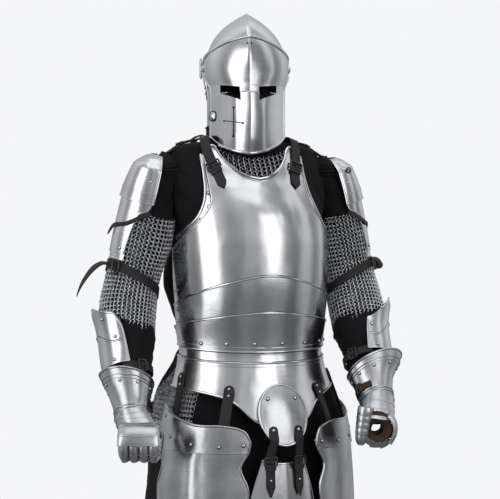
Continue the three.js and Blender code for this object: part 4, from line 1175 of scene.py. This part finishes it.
def makeDisc():
    seat, right, up, out = discFrame()
    halfWidth, halfHeight = 56, 67

    def at(t, share, height):
        return (seat + right * (halfWidth * share * math.sin(t)) + up * (halfHeight * share * math.cos(t))
                + out * height)
    disc = Piece("fauldDisc")
    dish = ((1, 0), (0.97, 1.2), (0.9, 2.0), (0.75, 4.2), (0.6, 6.2), (0.42, 8.2), (0.24, 9.5), (0.08, 10.1))
    disc.wall([[at(t, share, height) for t in radiansRound(72)] for share, height in dish], cuirass["plate"],
              seat - out * 100, closed=True, pole=seat + out * 10.2)
    disc.bead([at(t, 0.97, 0.4 * 0.97) for t in radiansRound(72)], 2.5, closed=True)
    disc.build(finishes["shadedSatin"], replaces=["fauld_disc"])
    rivets("discRivets", [(seat + right * x + up * 35 + out * 5.2, out) for x in (-32, 32)], 3.7, 2.0)


def makeCodPlate():
    halfAngle = curve((-850, 3), (-842, 10), (-820, 17), (-780, 20), (-740, 17.5), (-690, 13))
    cod = Piece("codPlate")
    grid = [[platePoint(u * halfAngle(z), z, 3.0 * bump(u, 0, 0.25) - 4 * u * u)
             for u, z in ((u, lerp(-850, -694 + 8 * u * u, v)) for u in steps(32, -1, 1))] for v in steps(44)]
    sheet = cod.wall(grid, cuirass["plate"], trunkAxis(-760))
    cod.rolled(sheet, ["low", "high", "first", "last"], 2.0, 0.8, 0.2)
    cod.build(finishes["plate"], replaces=["cod_plate"])


makeBreast()
makeLames()
makeDisc()
makeCodPlate()
print("cuirass made")


tassets = {"middle": 52.0, "lift": 13.0, "swell": 9.0}


def tassetPoint(side, u, z, lift, halfAngle):
    return platePoint(side * (tassets["middle"] + u * halfAngle), z, lift + tassets["swell"] * (1 - u * u))


# The upper plate narrows at the lower corner nearer the middle.
def makeTassetUpper(name, side):
    crown = curve((-1, -652), (-0.86, -624), (-0.5, -613), (0, -612), (0.5, -597), (1, -578))

    def hung(u, v):
        z = lerp(-668, crown(u), v)
        return tassetPoint(side, u, z, tassets["lift"], 33 - 3.2 * smooth((-640 - z) / 26) * (u < 0))
    upper = Piece("tassetUpper" + name)
    sheet = upper.wall([[hung(u, v) for u in steps(64, -1, 1)] for v in steps(22)], cuirass["plate"],
                       trunkAxis(-640))
    upper.rolled(sheet, ["high"], 2.8, 0.85, 0.3)
    upper.rolled(sheet, ["low", "first", "last"], 1.4, 0.8, 0.2)
    upper.build(finishes["shadedSatin"], replaces=["tasset_upper_" + name])


def makeTassetMain(name, side):
    halfAngle = curve((-860, 4), (-854, 13), (-840, 20), (-800, 28), (-745, 30.5), (-700, 26.5), (-665, 31),
                      (-640, 32))
    main = Piece("tassetMain" + name)
    grid = [[tassetPoint(side, u, z, tassets["lift"] - 2.2 + 2.2 * bump(u, 0, 0.12), halfAngle(z))
             for u in steps(56, -1, 1)] for z in (lerp(-860, -646, v ** 1.25) for v in steps(64))]
    sheet = main.wall(grid, cuirass["plate"], trunkAxis(-740))
    main.rolled(sheet, ["low", "first", "last"], 2.6, 0.85, 0.3)
    main.build(finishes["shadedSatin"], replaces=["tasset_" + name])
    spots = [(0.85, -600), (0.05, -652), (-0.85, -652), (0.55, -640), (-0.45, -655)]
    made = [(tassetPoint(side, u, z, tassets["lift"] + 1, 33),
             tassetPoint(side, u, z, 60, 33) - tassetPoint(side, u, z, 0, 33)) for u, z in spots]
    rivets("tassetRivets" + name, made, 3.8, 2.1)


for name, side in sides.items():
    makeTassetUpper(name, side)
    makeTassetMain(name, side)
print("tassets made")


# A plate over part of an arm between two ends and two edges; `rims` maps edges to bead radii, high being
# the end nearer the shoulder.
def armPlate(name, node, arm, ends, edges, offset, rims, rows=44, columns=48):
    low, high = ends
    front, back = edges
    piece = Piece(name)
    grid = [[arm.point(s, lerp(back(s), front(s), u), offset(s)) for u, s in (
        (u, lerp(low(u), high(u), v)) for u in steps(columns))] for v in steps(rows)]
    sheet = piece.wall(grid, cuirass["plate"], arm.at(clamp((low(0.5) + high(0.5)) / 2))[0])
    for edge, size in rims.items():
        piece.rolled(sheet, [edge], size, 0.8, 0.2)
    piece.build(finishes["plate"], replaces=[node])


def fixed(value):
    return lambda _: value


def makeUpperArm(name, arm):
    armPlate("spaulder" + name, "spaulder_" + name, arm, (fixed(0.125), fixed(-0.72)),
             (fixed(86), fixed(-80)), lambda s: lerp(4, 13, smooth((s + 0.4) / 0.5)),
             {"low": 1.6, "first": 2.6, "last": 2.6, "high": 1.6}, columns=64)
    angles = steps(60, -80, 86)
    ridge("spaulderLine" + name, [arm.point(0.086, a, 13.2) for a in angles], 1.1,
          [arm.facing(0.086, a) for a in angles])
    armPlate("armPlate" + name, "arm_plate_" + name, arm, (fixed(0.34), fixed(0.095)),
             (curve((0.095, 84), (0.15, 80), (0.175, 62), (0.34, 48)), curve((0.095, -78), (0.34, -60))),
             fixed(8.4), {"low": 1.6, "first": 2.2, "last": 2.4})
    armPlate("armLame" + name, "arm_lame_" + name, arm, (fixed(0.366), fixed(0.32)), (fixed(50), fixed(-60)),
             fixed(6), {"low": 2.0, "first": 1.6, "last": 1.6}, rows=8, columns=44)


def makeForearm(name, arm):
    shape = armShapes[name]
    turn = shape["turn"]
    flare = curve((0.585, 21), (0.63, 12.5), (0.69, 7), (0.81, 6))
    front = curve(*zip((0.585, 0.66, 0.81), shape["front"]))
    back = curve((0.585, turn - 60), (0.81, turn - 80))
    brim, drop = shape["brim"]
    armPlate("vambrace" + name, "vambrace_" + name, arm,
             (fixed(0.81), lambda u: brim + drop * smooth((u - 0.45) / 0.55)), (front, back), flare,
             {"low": 1.4, "high": 2.4, "first": 2.0, "last": 2.0}, columns=52)
    # The edge of the lame over the elbow end dips towards the inside of the arm.
    high, dip = shape["lame"]
    path = [(high + dip * smooth((u - 0.4) / 0.5) + 0.004 * math.sin(u * 9.5),
             lerp(back(0.67), front(0.67), u)) for u in steps(60)]
    facing = [arm.facing(s, a) for s, a in path]
    ridge("vambraceLame" + name, [arm.point(s, a, flare(s) + 0.5) for s, a in path], 1.8, facing, flat=0.8)
    # A blackened bead beside the lame's edge paints the shade in the gap under it.
    paintedGapShade("vambraceGapShade" + name, [arm.point(s - 0.005, a, flare(s) + 0.2) for s, a in path], facing)


def makeCuff(name, arm):
    shape = armShapes[name]
    brim, peak = shape["cuff"]

    def cuffAt(a, v, lift=0.0):
        s = lerp(0.998, brim - peak * cosine(a), v)
        medial = 1.6 * bump(((a + 180) % 360) - 180, 0, 9) * smooth((v - 0.1) / 0.3)
        outside = max(0.0, cosine(a - 8)) ** 3 * smooth((v - 0.45) / 0.55)
        return arm.point(s, a, lift + medial + shape["flare"] * outside, cuffRadius)
    cuff = Piece("gauntletCuff" + name)
    sheet = cuff.wall([[cuffAt(a, v) for a in degreesRound(72)] for v in steps(34)], cuirass["plate"],
                      arm.at(0.9)[0], closed=True)
    cuff.bead(sheet[0][-1], 2.6, closed=True)
    cuff.build(finishes["shadedSatin"], replaces=["gauntlet_cuff_" + name])
    bands = Piece("cuffBands" + name)
    for below, size in ((0.16, 1.3), (0.24, 1.0), (0.88, 1.5), (0.95, 1.2)):
        bands.bead([cuffAt(a, 1 - below, 0.4) for a in degreesRound(72)], size, closed=True)
    bands.build(finishes["shadedSatin"])

    turn = shape["turn"]
    spots = [(cuffAt(a, 0.7, 0.6), arm.facing(0.9, a)) for a in range(10, 360, 45)]
    spots += [(arm.point(s, a, lift), arm.facing(s, a)) for s, a, lift in (
        (-0.02, 0, 11.2), (0.04, 70, 12.0), (0.32, 38, 9.0), (0.32, -45, 9.0),
        (0.62, turn + 30, 14.8), (0.62, turn - 40, 14.8), (0.70, turn + 56, 7.0), (0.70, turn - 60, 7.0),
        (0.795, turn + 50, 6.4), (0.795, turn - 50, 6.4))]
    rivets("armRivets" + name, spots, 3.5, 2.0)


for name, arm in arms.items():
    makeUpperArm(name, arm)
    makeForearm(name, arm)
    makeCuff(name, arm)
print("arm plates made")


hand = {"glove": 38.0, "bore": 13.0, "breadth": 84.0, "glovePlate": 1.2, "finger": 20.6}
hand["half"] = hand["breadth"] / 2


class Fist:
    def __init__(self, name, arm):
        self.name, self.arm, self.shape = name, arm, armShapes[name]
        self.centre, self.grip = arm.fist, arm.grip
        down = arm.fist - arm.wrist
        self.down = (down - self.grip * down.dot(self.grip)).normalized()
        self.back = (self.grip.cross(self.down) if arm.side > 0 else self.down.cross(self.grip)).normalized()
        # The wrist's own directions: along it, across it and out through its back.
        self.along = (arm.wrist - arm.fist).normalized()
        self.across = (self.grip - self.along * self.along.dot(self.grip)).normalized()
        self.wristBack = (self.back - self.along * self.back.dot(self.along)).normalized()

    # Angle 0 is the back of the hand, 90 the knuckles' far side; g runs along the grip.
    def at(self, angle, g, radius):
        t = math.radians(angle)
        return (self.centre + self.grip * g + self.back * (radius * math.cos(t))
                + self.down * (radius * math.sin(t)))


# The glove's fist is a thick ring about the grip, ridged by the fingers, on a sleeve over the wrist.
def makeGlove(fist):
    half, outer, bore = hand["half"], hand["glove"], hand["bore"]
    glove = Piece("glove" + fist.name)
    ring = [(outer - 2.2 * (1 - abs(math.sin(math.pi * (g + half) / 21.5))), g)
            for g in steps(40, 9 - half, half - 9)]
    face = half - 4
    section = [(outer - 5, -face), *ring, (outer - 5, face), (outer - 12, face + 2), (23, face + 1),
               (bore, face - 4), (bore, 0), (bore, 4 - face), (23, -face - 1), (outer - 12, -face - 2)]
    around, count = 72, len(section)
    for a in degreesRound(around):
        for r, g in section:
            crease = 0.8 * wrinkle((r * cosine(a), r * sine(a), g), 0.12) if r > 18 else 0
            glove.points.append(tuple(fist.at(a, g, r + crease)))
    side = 1 if fist.grip.cross(fist.back).dot(fist.down) > 0 else -1
    for k in range(around):
        near, far = k * count, (k + 1) % around * count
        for m in range(count):
            n = (m + 1) % count
            corners = (near + m, far + m, far + n, near + n)
            glove.faces.append(corners if side > 0 else corners[::-1])

    other = fist.along.cross(fist.across)
    rows = []
    for v in steps(16):
        fold = 0.8 * math.sin(v * 40)
        r = lerp(33, 28, smooth(v * 1.4)) + fold
        middle = fist.centre + fist.along * lerp(26, (fist.arm.wrist - fist.centre).length + 4, v)
        rows.append([middle + fist.across * (r * math.cos(t)) + other * ((r - 3) * math.sin(t))
                     for t in radiansRound(48)])
    glove.wall(rows, 2.0, fist.arm.wrist.lerp(fist.centre, 0.5), closed=True)
    glove.build(finishes["glove"], replaces=["glove_" + fist.name], slot="brown_leather")


# The plate over the back of the hand wraps both ends of the fist and scallops over the knuckles.
def makeHandPlate(fist):
    def shellAt(v, u):
        t = u * math.pi / 2
        scallop = 3.0 * abs(math.cos(math.pi * 2 * u)) ** 0.7
        g = (hand["half"] + 1.5) * math.copysign(abs(math.sin(t)) ** 0.75, u)
        r = 34 + 11.8 * abs(math.cos(t)) ** 0.62
        return fist.at(lerp(-58, 38 + scallop, v), g, r + 1.2 * smooth((v - 0.75) / 0.25))
    shell = Piece("handPlate" + fist.name)
    sheet = shell.wall([[shellAt(v, u) for u in steps(60, -1, 1)] for v in steps(28)], cuirass["plate"],
                       fist.centre)
    shell.rolled(sheet, ["low", "high", "first", "last"], 1.5, 0.8, 0.2)
    for v, size in ((0.3, 1.0), (0.72, 1.2)):
        path = [shellAt(v + 0.03 * math.cos(u * 3), u) for u in steps(48, -0.97, 0.97)]
        shell.bead(path, size, [p - fist.centre for p in path], 0.7)
    shell.build(finishes["shadedSatin"], replaces=["hand_plate_" + fist.name])
    spots = [(fist.at(a, g, 46.0 - 0.1 * abs(g)), fist.at(a, g, 60) - fist.at(a, g, 40))
             for a, g in ((-38, -22), (-38, 22), (24, -28), (24, 28))]
    spots += [(fist.at(a, hand["half"] + 1.5, 33), fist.grip) for a in (-30, 30)]
    rivets("handRivets" + fist.name, spots, 2.3, 1.4)


# Lames bridge the wrist from the cuff to the hand.
def makeWristLames(fist):
    wrist = fist.arm.wrist
    for k, (low, high) in enumerate(((-0.08, 0.4), (0.33, 0.72), (0.65, 1.04))):
        def bridged(w, a):
            near = wrist + fist.across * (37 * sine(a)) + fist.wristBack * (36 * cosine(a))
            wide, deep = (math.copysign(abs(f) ** 0.8, f) for f in (sine(a), cosine(a)))
            far = (fist.centre - fist.down * 25 + fist.grip * (hand["half"] * 1.03 * wide)
                   + fist.back * (37 * deep))
            lifted = 0.8 + 1.6 * (1 - (w - low) / (high - low)) - 0.5 * k
            return near.lerp(far, w) + (near - wrist).normalized() * lifted
        bridge = Piece("wristLame%d%s" % (k, fist.name))
        sheet = bridge.wall([[bridged(w, a) for a in steps(72, -166, 166)] for w in steps(10, low, high)],
                            1.3, wrist.lerp(fist.centre, 0.5))
        bridge.rolled(sheet, ["low", "high"], 1.3, 0.8, 0.2)
        bridge.build(finishes["shadedSatin"])


# Three lames on each finger; the outer fingers turn down over the fist's ends.
def makeFingers(fist):
    fingers = Piece("fingerPlates" + fist.name)
    for k in range(4):
        middle = (k - 1.5) * hand["finger"]
        for start, end, lift in ((34, 72, 3.4), (67, 104, 2.2), (99, 140 + fist.shape["shorter"][k], 1.0)):
            def bent(u, v):
                edge = smooth((abs(u) - 0.35) / 0.65) if u * (k - 1.5) > 0 and k in (0, 3) else 0.0
                r = hand["glove"] + lift - 5.0 * abs(u) ** 2.6 + 1.8 * v * v - 9 * edge
                return fist.at(lerp(start, end, v), middle + u * 9.7 + math.copysign(2.2 * edge, u), r)
            sheet = fingers.wall([[bent(u, v) for u in steps(16, -1, 1)] for v in steps(12)],
                                 hand["glovePlate"], fist.centre)
            fingers.rolled(sheet, ["high"], 0.9, 0.8, 0.2)
    fingers.build(finishes["shadedSatin"], replaces=["finger_plates_" + fist.name])


# The thumb lies across the front of the fingers under four lames and a domed tip.
def makeThumb(fist):
    root = fist.centre + fist.grip * 30
    start = root - fist.back * 29 - fist.down * 34
    end = root - fist.back * 31 + fist.down * fist.shape["thumb"]
    along = (end - start).normalized()
    out = fist.grip * 0.85 - fist.back * 0.5
    out = (out - along * out.dot(along)).normalized()
    across = along.cross(out)

    def at(v, t, radius):
        return start.lerp(end, v) + (out * math.cos(t) + across * math.sin(t)) * radius
    thumb = Piece("thumb" + fist.name)
    rows = [[at(v, t, 12.5 * math.sqrt(1 - (max(0.0, v - 0.72) / 0.3) ** 2)) for t in radiansRound(24)]
            for v in steps(14)]
    thumb.wall(rows, 1.6, start.lerp(end, 0.4), closed=True, pole=end + along * 1.2)
    thumb.build(finishes["glove"], slot="brown_leather")
    lames = Piece("thumbPlates" + fist.name)
    spread = steps(20, -1.75, 1.75)
    for k, (low, high, r) in enumerate(((-0.16, 0.16, 17.0), (0.1, 0.38, 16.4), (0.32, 0.6, 15.6),
                                        (0.54, 0.82, 14.8))):
        sheet = lames.wall([[at(lerp(low, high, v), t, r + 1.1 * math.sin(math.pi * v)) for t in spread]
                            for v in steps(8)], hand["glovePlate"], start.lerp(end, 0.4))
        lames.rolled(sheet, ["high"], 1.0, 0.8, 0.2)
        # A blackened ring at each lame's end paints the shade in the gap to the next lame.
        facing = [p - start.lerp(end, high) for p in asVectors(sheet[0][-1])]
        paintedGapShade("thumbGapShade%d%s" % (k, fist.name),
              [start.lerp(end, high) + f + along * 1.2 - f.normalized() * 0.6 for f in facing], facing, 0.9)
    lames.wall([[at(lerp(0.76, 1.22, v), t, 14.4 * math.sqrt(1 - (0.93 * v) ** 2.4)) for t in spread]
                for v in steps(12)], hand["glovePlate"], start.lerp(end, 0.6))
    lames.build(finishes["shadedSatin"])


for name, arm in arms.items():
    fist = Fist(name, arm)
    makeGlove(fist)
    makeHandPlate(fist)
    makeWristLames(fist)
    makeFingers(fist)
    makeThumb(fist)
print("hands made")


leather = {"thickness": 2.4, "thin": 2.0, "lace": 1.8, "stitch": 0.42}


def smoothPath(points):
    place, rows = 0.0, []
    for k, p in enumerate(points):
        place += (p - points[k - 1]).length if k else 0.0
        rows.append((place, *p))
    at = profile(rows)
    return (lambda t: Vector(at(t * place))), place


# How wide a strap is near its end, in shares of its whole width.
def taper(kind, left, width, point):
    if kind == "pointed":
        return clamp(0.12 + 0.88 * (left / (width * point)))
    if kind == "round":
        return math.sqrt(clamp(1 - (1 - clamp(left / (width / 2))) ** 2)) * 0.95 + 0.05
    return 1.0


# A strap along points, crowned a little, its face away from inside(p). Each end is pointed, round or plain,
# and `point` is the length of a pointed one in widths.
def strap(name, nodes, points, width, inside, tip="pointed", start="plain", point=0.55, finish="strap",
          slot="black_leather", count=70, thickness=leather["thickness"]):
    at, length = smoothPath(points)

    def where(t, reach=0.01):
        p = at(t)
        along = (at(min(1, t + reach)) - at(max(0, t - reach))).normalized()
        out = p - inside(p)
        return p, along, (out - along * out.dot(along)).normalized()
    piece = Piece(name)
    grid = []
    for t in (0.0, *steps(count, 2.0 / length, 1 - 2.0 / length), 1.0):
        p, along, out = where(t, 0.004)
        across = out.cross(along)
        ends = ((tip, (1 - t) * length), (start, t * length))
        wide = width / 2 * min(taper(kind, left, width, point) for kind, left in ends)
        grid.append([p + across * (wide * x) + out * (thickness / 2 - 0.7 * abs(x) ** 4)
                     for x in (-1, -0.88, -0.6, -0.2, 0.2, 0.6, 0.88, 1)])
    places, normals = piece.wall(grid, thickness, inside(at(0.5)))
    for column in (1, 6):
        facing = asVectors(normals[2:-2, column])
        stitches = [p + f * 0.05 for p, f in zip(asVectors(places[2:-2, column]), facing)]
        piece.bead(stitches, leather["stitch"], facing, 0.8, sides=5)
    piece.build(finishes[finish], replaces=nodes, slot=slot, sharp=50)
    return where, length


# A square frame with its bar and prong, round the strap, and a leather keeper beyond it.
def buckle(name, where, width, keeper=14.0, depth=9.0):
    p, along, out = where
    across = out.cross(along)
    half = width / 2 + 3.4

    def at(x, y, h):
        return p + across * x + along * y + out * (h + 1.6)
    corner = 2.4
    corners = ((1, 1, 0), (-1, 1, 90), (-1, -1, 180), (1, -1, 270))
    outline = [(x * (half - corner) + corner * cosine(begin + a),
                y * (depth - corner) + corner * sine(begin + a))
               for x, y, begin in corners for a in (0, 30, 60, 90)]
    square = Piece(name)
    square.bead([at(x, y, 1.0) for x, y in outline], 2.1, [out] * len(outline), 0.9, closed=True, sides=10)
    square.bead([at(x, 0, 0.2) for x in steps(6, -half, half)], 1.5)
    square.bead([at(0, y * depth, h) for y, h in ((0, 0.6), (0.3, 2.2), (0.7, 2.8), (1.12, 2.3))], 1.25)
    square.bead([at(x, 0, 0.9) for x in steps(4, -2.6, 2.6)], 2.1)
    square.build(finishes["blackened"])
    if keeper:
        band = Piece(name + "Keeper")
        section = [(half - 1, -2.4), (half - 1.6, 0.8), (half - 3.6, 1.9), (0, 2.3)]
        section = [(-x, h) for x, h in section] + section[2::-1]
        band.wall([[at(x, y, h) for x, h in section] for y in steps(4, keeper - 3.4, keeper + 3.4)], 1.6,
                  p - out * 20)
        band.build(finishes["strap"], slot="black_leather")


# A rivet, or with the hole flag a blackened dome that paints the shade of a punched hole, on a strap where
# where(t) says.
def strapRivets(name, spots, radius, height, holeShade=False):
    lift, finish = (1.1, "blackened") if holeShade else (1.0, "plate")
    rivets(name, [(p + out * lift, out) for p, _, out in spots], radius, height, finish)


def makeShoulderStraps(name, side):
    width, lift = 22, 3.8 if side > 0 else 8.2
    behind = [(216, -427, lift - 1), (212, -404, lift), (198, -350, lift), (180, -270, lift),
              (167, -180, lift), (157, -90, lift), (148, -34, 4)]
    over = [(104, 66, -1.5), (106, 30, 5.6), (106, -10, 6.6), (104, -42, 4.5)]
    ahead = [(36, -16, 4.2), (33.5, -44, 3.8), (30, -74, 3.6), (27.5, -106, 3.6)]
    points = [coatPoint(side * a, z, h) for a, z, h in behind]
    points += [Vector((side * x - 14, y, z)) for x, y, z in over]
    points += [platePoint(side * a, z, h) for a, z, h in ahead]
    where, length = strap("shoulderStrap" + name, ["shoulder_strap_" + name], points, width,
                          lambda p: Vector((p.x * 0.7, 14, min(-70, p.z))), count=150)
    buckle("shoulderBuckle" + name, where(1 - 58 / length), width, keeper=15)
    # A blackened dome paints the shade of the strap's punched hole.
    strapRivets("shoulderStrapHoleShade" + name, [where(1 - 20 / length)], 1.7, 0.35, holeShade=True)

    top = [Vector((side * x + leanAt(z), y, z)) for x, y, z in (
        (96, 6, 14.2), (107, 5, 12.8), (120, 3, 4.6), (132, 1, -1.8), (144, -1, -5.4), (156, -3, -10.6),
        (169, -5, -19.5), (180, -6, -26.5), (190, -7, -31.0))]
    where, _ = strap("spaulderStrap" + name, ["spaulder_strap_" + name], top, width,
                     lambda p: Vector((side * 130, 0, -120)), count=40)
    buckle("spaulderBuckle" + name, where(0.44), width, keeper=13)


# The tassets hang from the fauld on two straps each, and the cod plate from the disc on two.
def makeHangers(name, side):
    middle = tassets["middle"]
    for place, angle, high in (("Outer", 76, -508), ("Inner", 33, -530)):
        foot = middle + (angle - middle) * 0.8
        points = [platePoint(side * lerp(angle, foot, (high - z) / 120), z, 8.6)
                  for z in (high, -545, -575, -610, -640)]
        node = "tasset_strap_%s_%s" % (place.lower(), name)
        where, _ = strap("tassetStrap" + place + name, [node], points, 24, lambda p: trunkAxis(-580),
                         tip="plain", start="round", count=44)
        strapRivets("tassetStrapRivets" + place + name, [where(0.07), where(0.2)], 3.2, 1.9)

    seat, right, up, out = discFrame()
    points = [seat + right * (side * 29) + up * y + out * h for y, h in ((-24, 7.0), (-40, 6.4), (-56, 5.2))]
    points += [platePoint(side * 8.6, z, h) for z, h in (
        (-672, 7.5), (-690, 5.6), (-716, 4.5), (-742, 4.5), (-764, 4.5))]
    where, length = strap("codStrap" + name, ["cod_strap_" + name], points, 19, lambda p: trunkAxis(-700),
                          start="round", point=1.1, count=60)
    buckle("codBuckle" + name, where(1 - 76 / length), 19)
    strapRivets("codStrapHead" + name, [where(9 / length)], 3.6, 2.0)
    strapRivets("codStrapRivet" + name, [where(1 - 36 / length)], 2.8, 1.6)
    # A blackened dome paints the shade of the strap's punched hole.
    strapRivets("codStrapHoleShade" + name, [where(1 - 22 / length)], 1.4, 0.35, holeShade=True)


# A strap round the upper arm, over the coat, the mail and the plate, and its hanging tail.
def makeArmStrap(name, arm):
    over = 0.6 + 2.8 + 3.4 + leather["thickness"]
    loop = Piece("armStrap" + name)

    def at(shift, a, crown):
        s = 0.435 + shift - 0.047 * cosine(a - 20)
        return arm.point(s, a, over + crown + 0.8 * slack(arm, s, a))
    section = ((0.0205, -0.7), (0.019, 0), (0.014, 0), (0, 0), (-0.014, 0), (-0.019, 0), (-0.0205, -0.7))
    rows = [[at(shift, a, crown) for a in degreesRound(72)] for shift, crown in section]
    loop.wall(rows, leather["thickness"], arm.at(0.435)[0], closed=True)
    loop.build(finishes["strap"], replaces=["arm_strap_" + name], slot="black_leather")
    start = arm.point(0.39, 8, over - 1.2)
    below = start + Vector((arm.side * 10, 60, -200))
    tail = [start + Vector(t) for t in armShapes[name]["tail"]]
    tip, point = {"R": ("pointed", 3.8), "L": ("round", 0.55)}[name]
    strap("armStrapTail" + name, [], tail, 20, lambda p: below, tip=tip, point=point, count=44)
    seat, ahead = (arm.point(0.4, a, over + 1.2) for a in (40, 30))
    buckle("armBuckle" + name, (seat, (ahead - seat).normalized(), arm.facing(0.4, 40, over)), 20, keeper=0)


# A thin lace ties the upper plate, and two straps close the forearm plate and the cuff.
def makeArmTies(name, arm):
    shape = armShapes[name]
    lace = [arm.point(s, a, h) for s, a, h in (
        (0.158, 86, 8), (0.168, 78, 12), (0.183, 68, 12.6), (0.204, 54, 12), (0.222, 40, 11.5),
        (0.232, 22, 11.5), (0.243, 4, 12.5), (0.262, -8, 15), (0.285, -14, 19))]
    strap("armLace" + name, [], lace, 9, lambda p: arm.at(0.22)[0], count=80, thickness=leather["lace"])
    s = shape["forearmStrap"]
    path = [arm.point(s + 0.012 * sine(a), a + shape["turn"], 3.6) for a in range(66, 291, 15)]
    where, _ = strap("forearmStrap" + name, [], path, 17, lambda p: arm.at(s)[0], count=80,
                     thickness=leather["thin"])
    buckle("forearmBuckle" + name, where(0.22), 17, keeper=12)
    path = [arm.point(0.96, a, 2.2, cuffRadius) for a in range(shape["cuffStrap"], 266, 12)]
    where, _ = strap("cuffStrap" + name, [], path, 14, lambda p: arm.at(0.952)[0], finish="glove",
                     slot="brown_leather", thickness=leather["thin"])
    buckle("cuffBuckle" + name, where(0.3), 14, keeper=0, depth=6.5)


# A small wire ring stands on the wearer's left shoulder plate.
def makeShoulderRing(name, arm):
    seat, facing = arm.point(-0.045, 58, 11.5), arm.facing(-0.045, 58, 8)
    up = Vector((0, 0, 1))
    sideways = facing.cross(up).normalized()
    wire = Piece("spaulderLoop" + name)
    wire.bead([seat + facing * 1.5 + sideways * (7 * math.cos(t)) + up * (6 * math.sin(t))
               for t in radiansRound(24)], 1.6, closed=True)
    wire.build(finishes["blackened"])


def makeWaistStrap():
    height, width = -425, 28

    def at(angle, lift, z=height):
        return coatPoint(angle, z, lift)
    band = Piece("waistStrap")
    rows = [[at(a, 11.4 + crown, height + rise) for a in steps(90, 96, 264)] for rise, crown in (
        (-14, -0.7), (-12, 0), (-6, 0), (0, 0), (6, 0), (12, 0), (14, -0.7))]
    band.wall(rows, leather["thickness"], trunkAxis(height))
    band.build(finishes["strap"], replaces=["waist_strap"], slot="black_leather")
    along = (at(173, 12.6) - at(171, 12.6)).normalized()
    buckle("waistBuckle", (at(172, 12.6), along, (at(172, 40) - at(172, 0)).normalized()), width)
    rivets("waistStrapRivets", [(at(a, 12.8), at(a, 40) - at(a, 0)) for a in (99, 103, 257, 261)], 3.0, 1.8)


for name, arm in arms.items():
    makeShoulderStraps(name, arm.side)
    makeHangers(name, arm.side)
    makeArmStrap(name, arm)
    makeArmTies(name, arm)
makeShoulderRing("L", arms["L"])
makeWaistStrap()
print("straps made")


view = {"target": Vector((0.0, 0.0, -0.24)), "distance": 3.0, "azimuth": -17.0, "lens": 96.0}
# Softboxes: azimuth, distance, height, size and power. Lengths here are in metres.
softboxes = {"Right": (-68, 2.3, 0.1, (1.2, 2.7), 17), "Left": (19, 2.8, 0.35, (1.7, 2.2), 17),
             "Top": (-20, 0.8, 2.2, (2.0, 1.8), 9)}
# How bright the studio is round the suit, against azimuth as a share of a turn from the front.
studioLevels = ((0.0, 0.30), (0.035, 0.42), (0.075, 0.22), (0.13, 0.34), (0.235, 0.32), (0.27, 0.26),
                (0.33, 0.5), (0.45, 0.35), (0.6, 0.35), (0.69, 0.55), (0.76, 0.2), (0.80, 0.62),
                (0.845, 0.18), (0.875, 0.2), (0.905, 0.45), (1.0, 0.30))
floorSize = {"radius": 2.2, "height": -1.45, "sides": 96}


def fromAzimuth(azimuth, distance, height):
    return Vector((sine(azimuth) * distance, -cosine(azimuth) * distance, height))


def aimed(obj, place, target):
    obj.location = place
    obj.rotation_euler = (target - place).to_track_quat("-Z", "Y").to_euler()
    bpy.context.scene.collection.objects.link(obj)
    return obj


def makeCamera():
    scene = bpy.context.scene
    camera = bpy.data.cameras.new("camera")
    camera.lens, camera.sensor_width, camera.clip_end = view["lens"], 36.0, 50.0
    place = view["target"] + fromAzimuth(view["azimuth"], view["distance"], 0.0)
    scene.camera = aimed(bpy.data.objects.new("camera", camera), place, view["target"])
    scene.view_settings.view_transform = "Standard"


def makeLights():
    for name, (azimuth, distance, height, size, power) in softboxes.items():
        light = bpy.data.lights.new("softbox" + name, "AREA")
        light.shape, light.size, light.size_y, light.energy = "RECTANGLE", size[0], size[1], power
        box = aimed(bpy.data.objects.new("softbox" + name, light), fromAzimuth(azimuth, distance, height),
                    Vector((0, 0, -0.25)))
        box.visible_camera = False


# Seen by the camera the backdrop is plain; the plates reflect bands of light and dark that brighten upwards.
def makeWorld():
    world = bpy.data.worlds.new("studio")
    world.use_nodes = True
    bpy.context.scene.world = world
    tree = world.node_tree
    tree.nodes.clear()

    def node(kind, links=(), **values):
        made = tree.nodes.new("ShaderNode" + kind)
        for socket, value in values.items():
            made.inputs[socket.replace("_", " ")].default_value = value
        for socket, source in dict(links).items():
            tree.links.new(source, made.inputs[socket])
        return made
    direction = node("TexCoord").outputs["Generated"]
    parts = node("SeparateXYZ", {0: direction})
    angle = node("Math", {0: parts.outputs["X"], 1: parts.outputs["Y"]})
    angle.operation = "ARCTAN2"
    share = node("MapRange", {"Value": angle.outputs[0]}, From_Min=-math.pi, From_Max=math.pi)
    ramp = node("ValToRGB", {"Fac": share.outputs["Result"]})
    ramp.color_ramp.interpolation = "EASE"
    elements = ramp.color_ramp.elements
    for k, (spot, level) in enumerate(studioLevels):
        element = elements[k] if k < 2 else elements.new(spot)
        element.position, element.color = spot, (level, level, level * 1.02, 1)
    rise = node("MapRange", {"Value": parts.outputs["Z"]}, From_Min=-0.6, From_Max=0.9, To_Min=0.5,
                To_Max=2.1)
    lit = node("Background", {"Color": ramp.outputs["Color"], "Strength": rise.outputs["Result"]})
    seen = node("Background", Color=(0.913, 0.918, 0.935, 1))
    rays = node("LightPath")
    mix = node("MixShader", {0: rays.outputs["Is Camera Ray"], 1: lit.outputs[0], 2: seen.outputs[0]})
    node("OutputWorld", {"Surface": mix.outputs[0]})


def makeFloor():
    radius, height, count = floorSize["radius"], floorSize["height"], floorSize["sides"]
    mesh = bpy.data.meshes.new("floor")
    mesh.from_pydata([(radius * math.cos(t), radius * math.sin(t), height) for t in radiansRound(count)], [],
                     [tuple(range(count))])
    floor = bpy.data.objects.new("floor", mesh)
    bpy.context.scene.collection.objects.link(floor)
    mesh.materials.append(Shader("paleFloor", Base_Color=(0.78, 0.78, 0.79, 1), Roughness=0.7).material)
    floor.visible_glossy = False


makeCamera()
makeLights()
makeWorld()
makeFloor()
print("studio made")
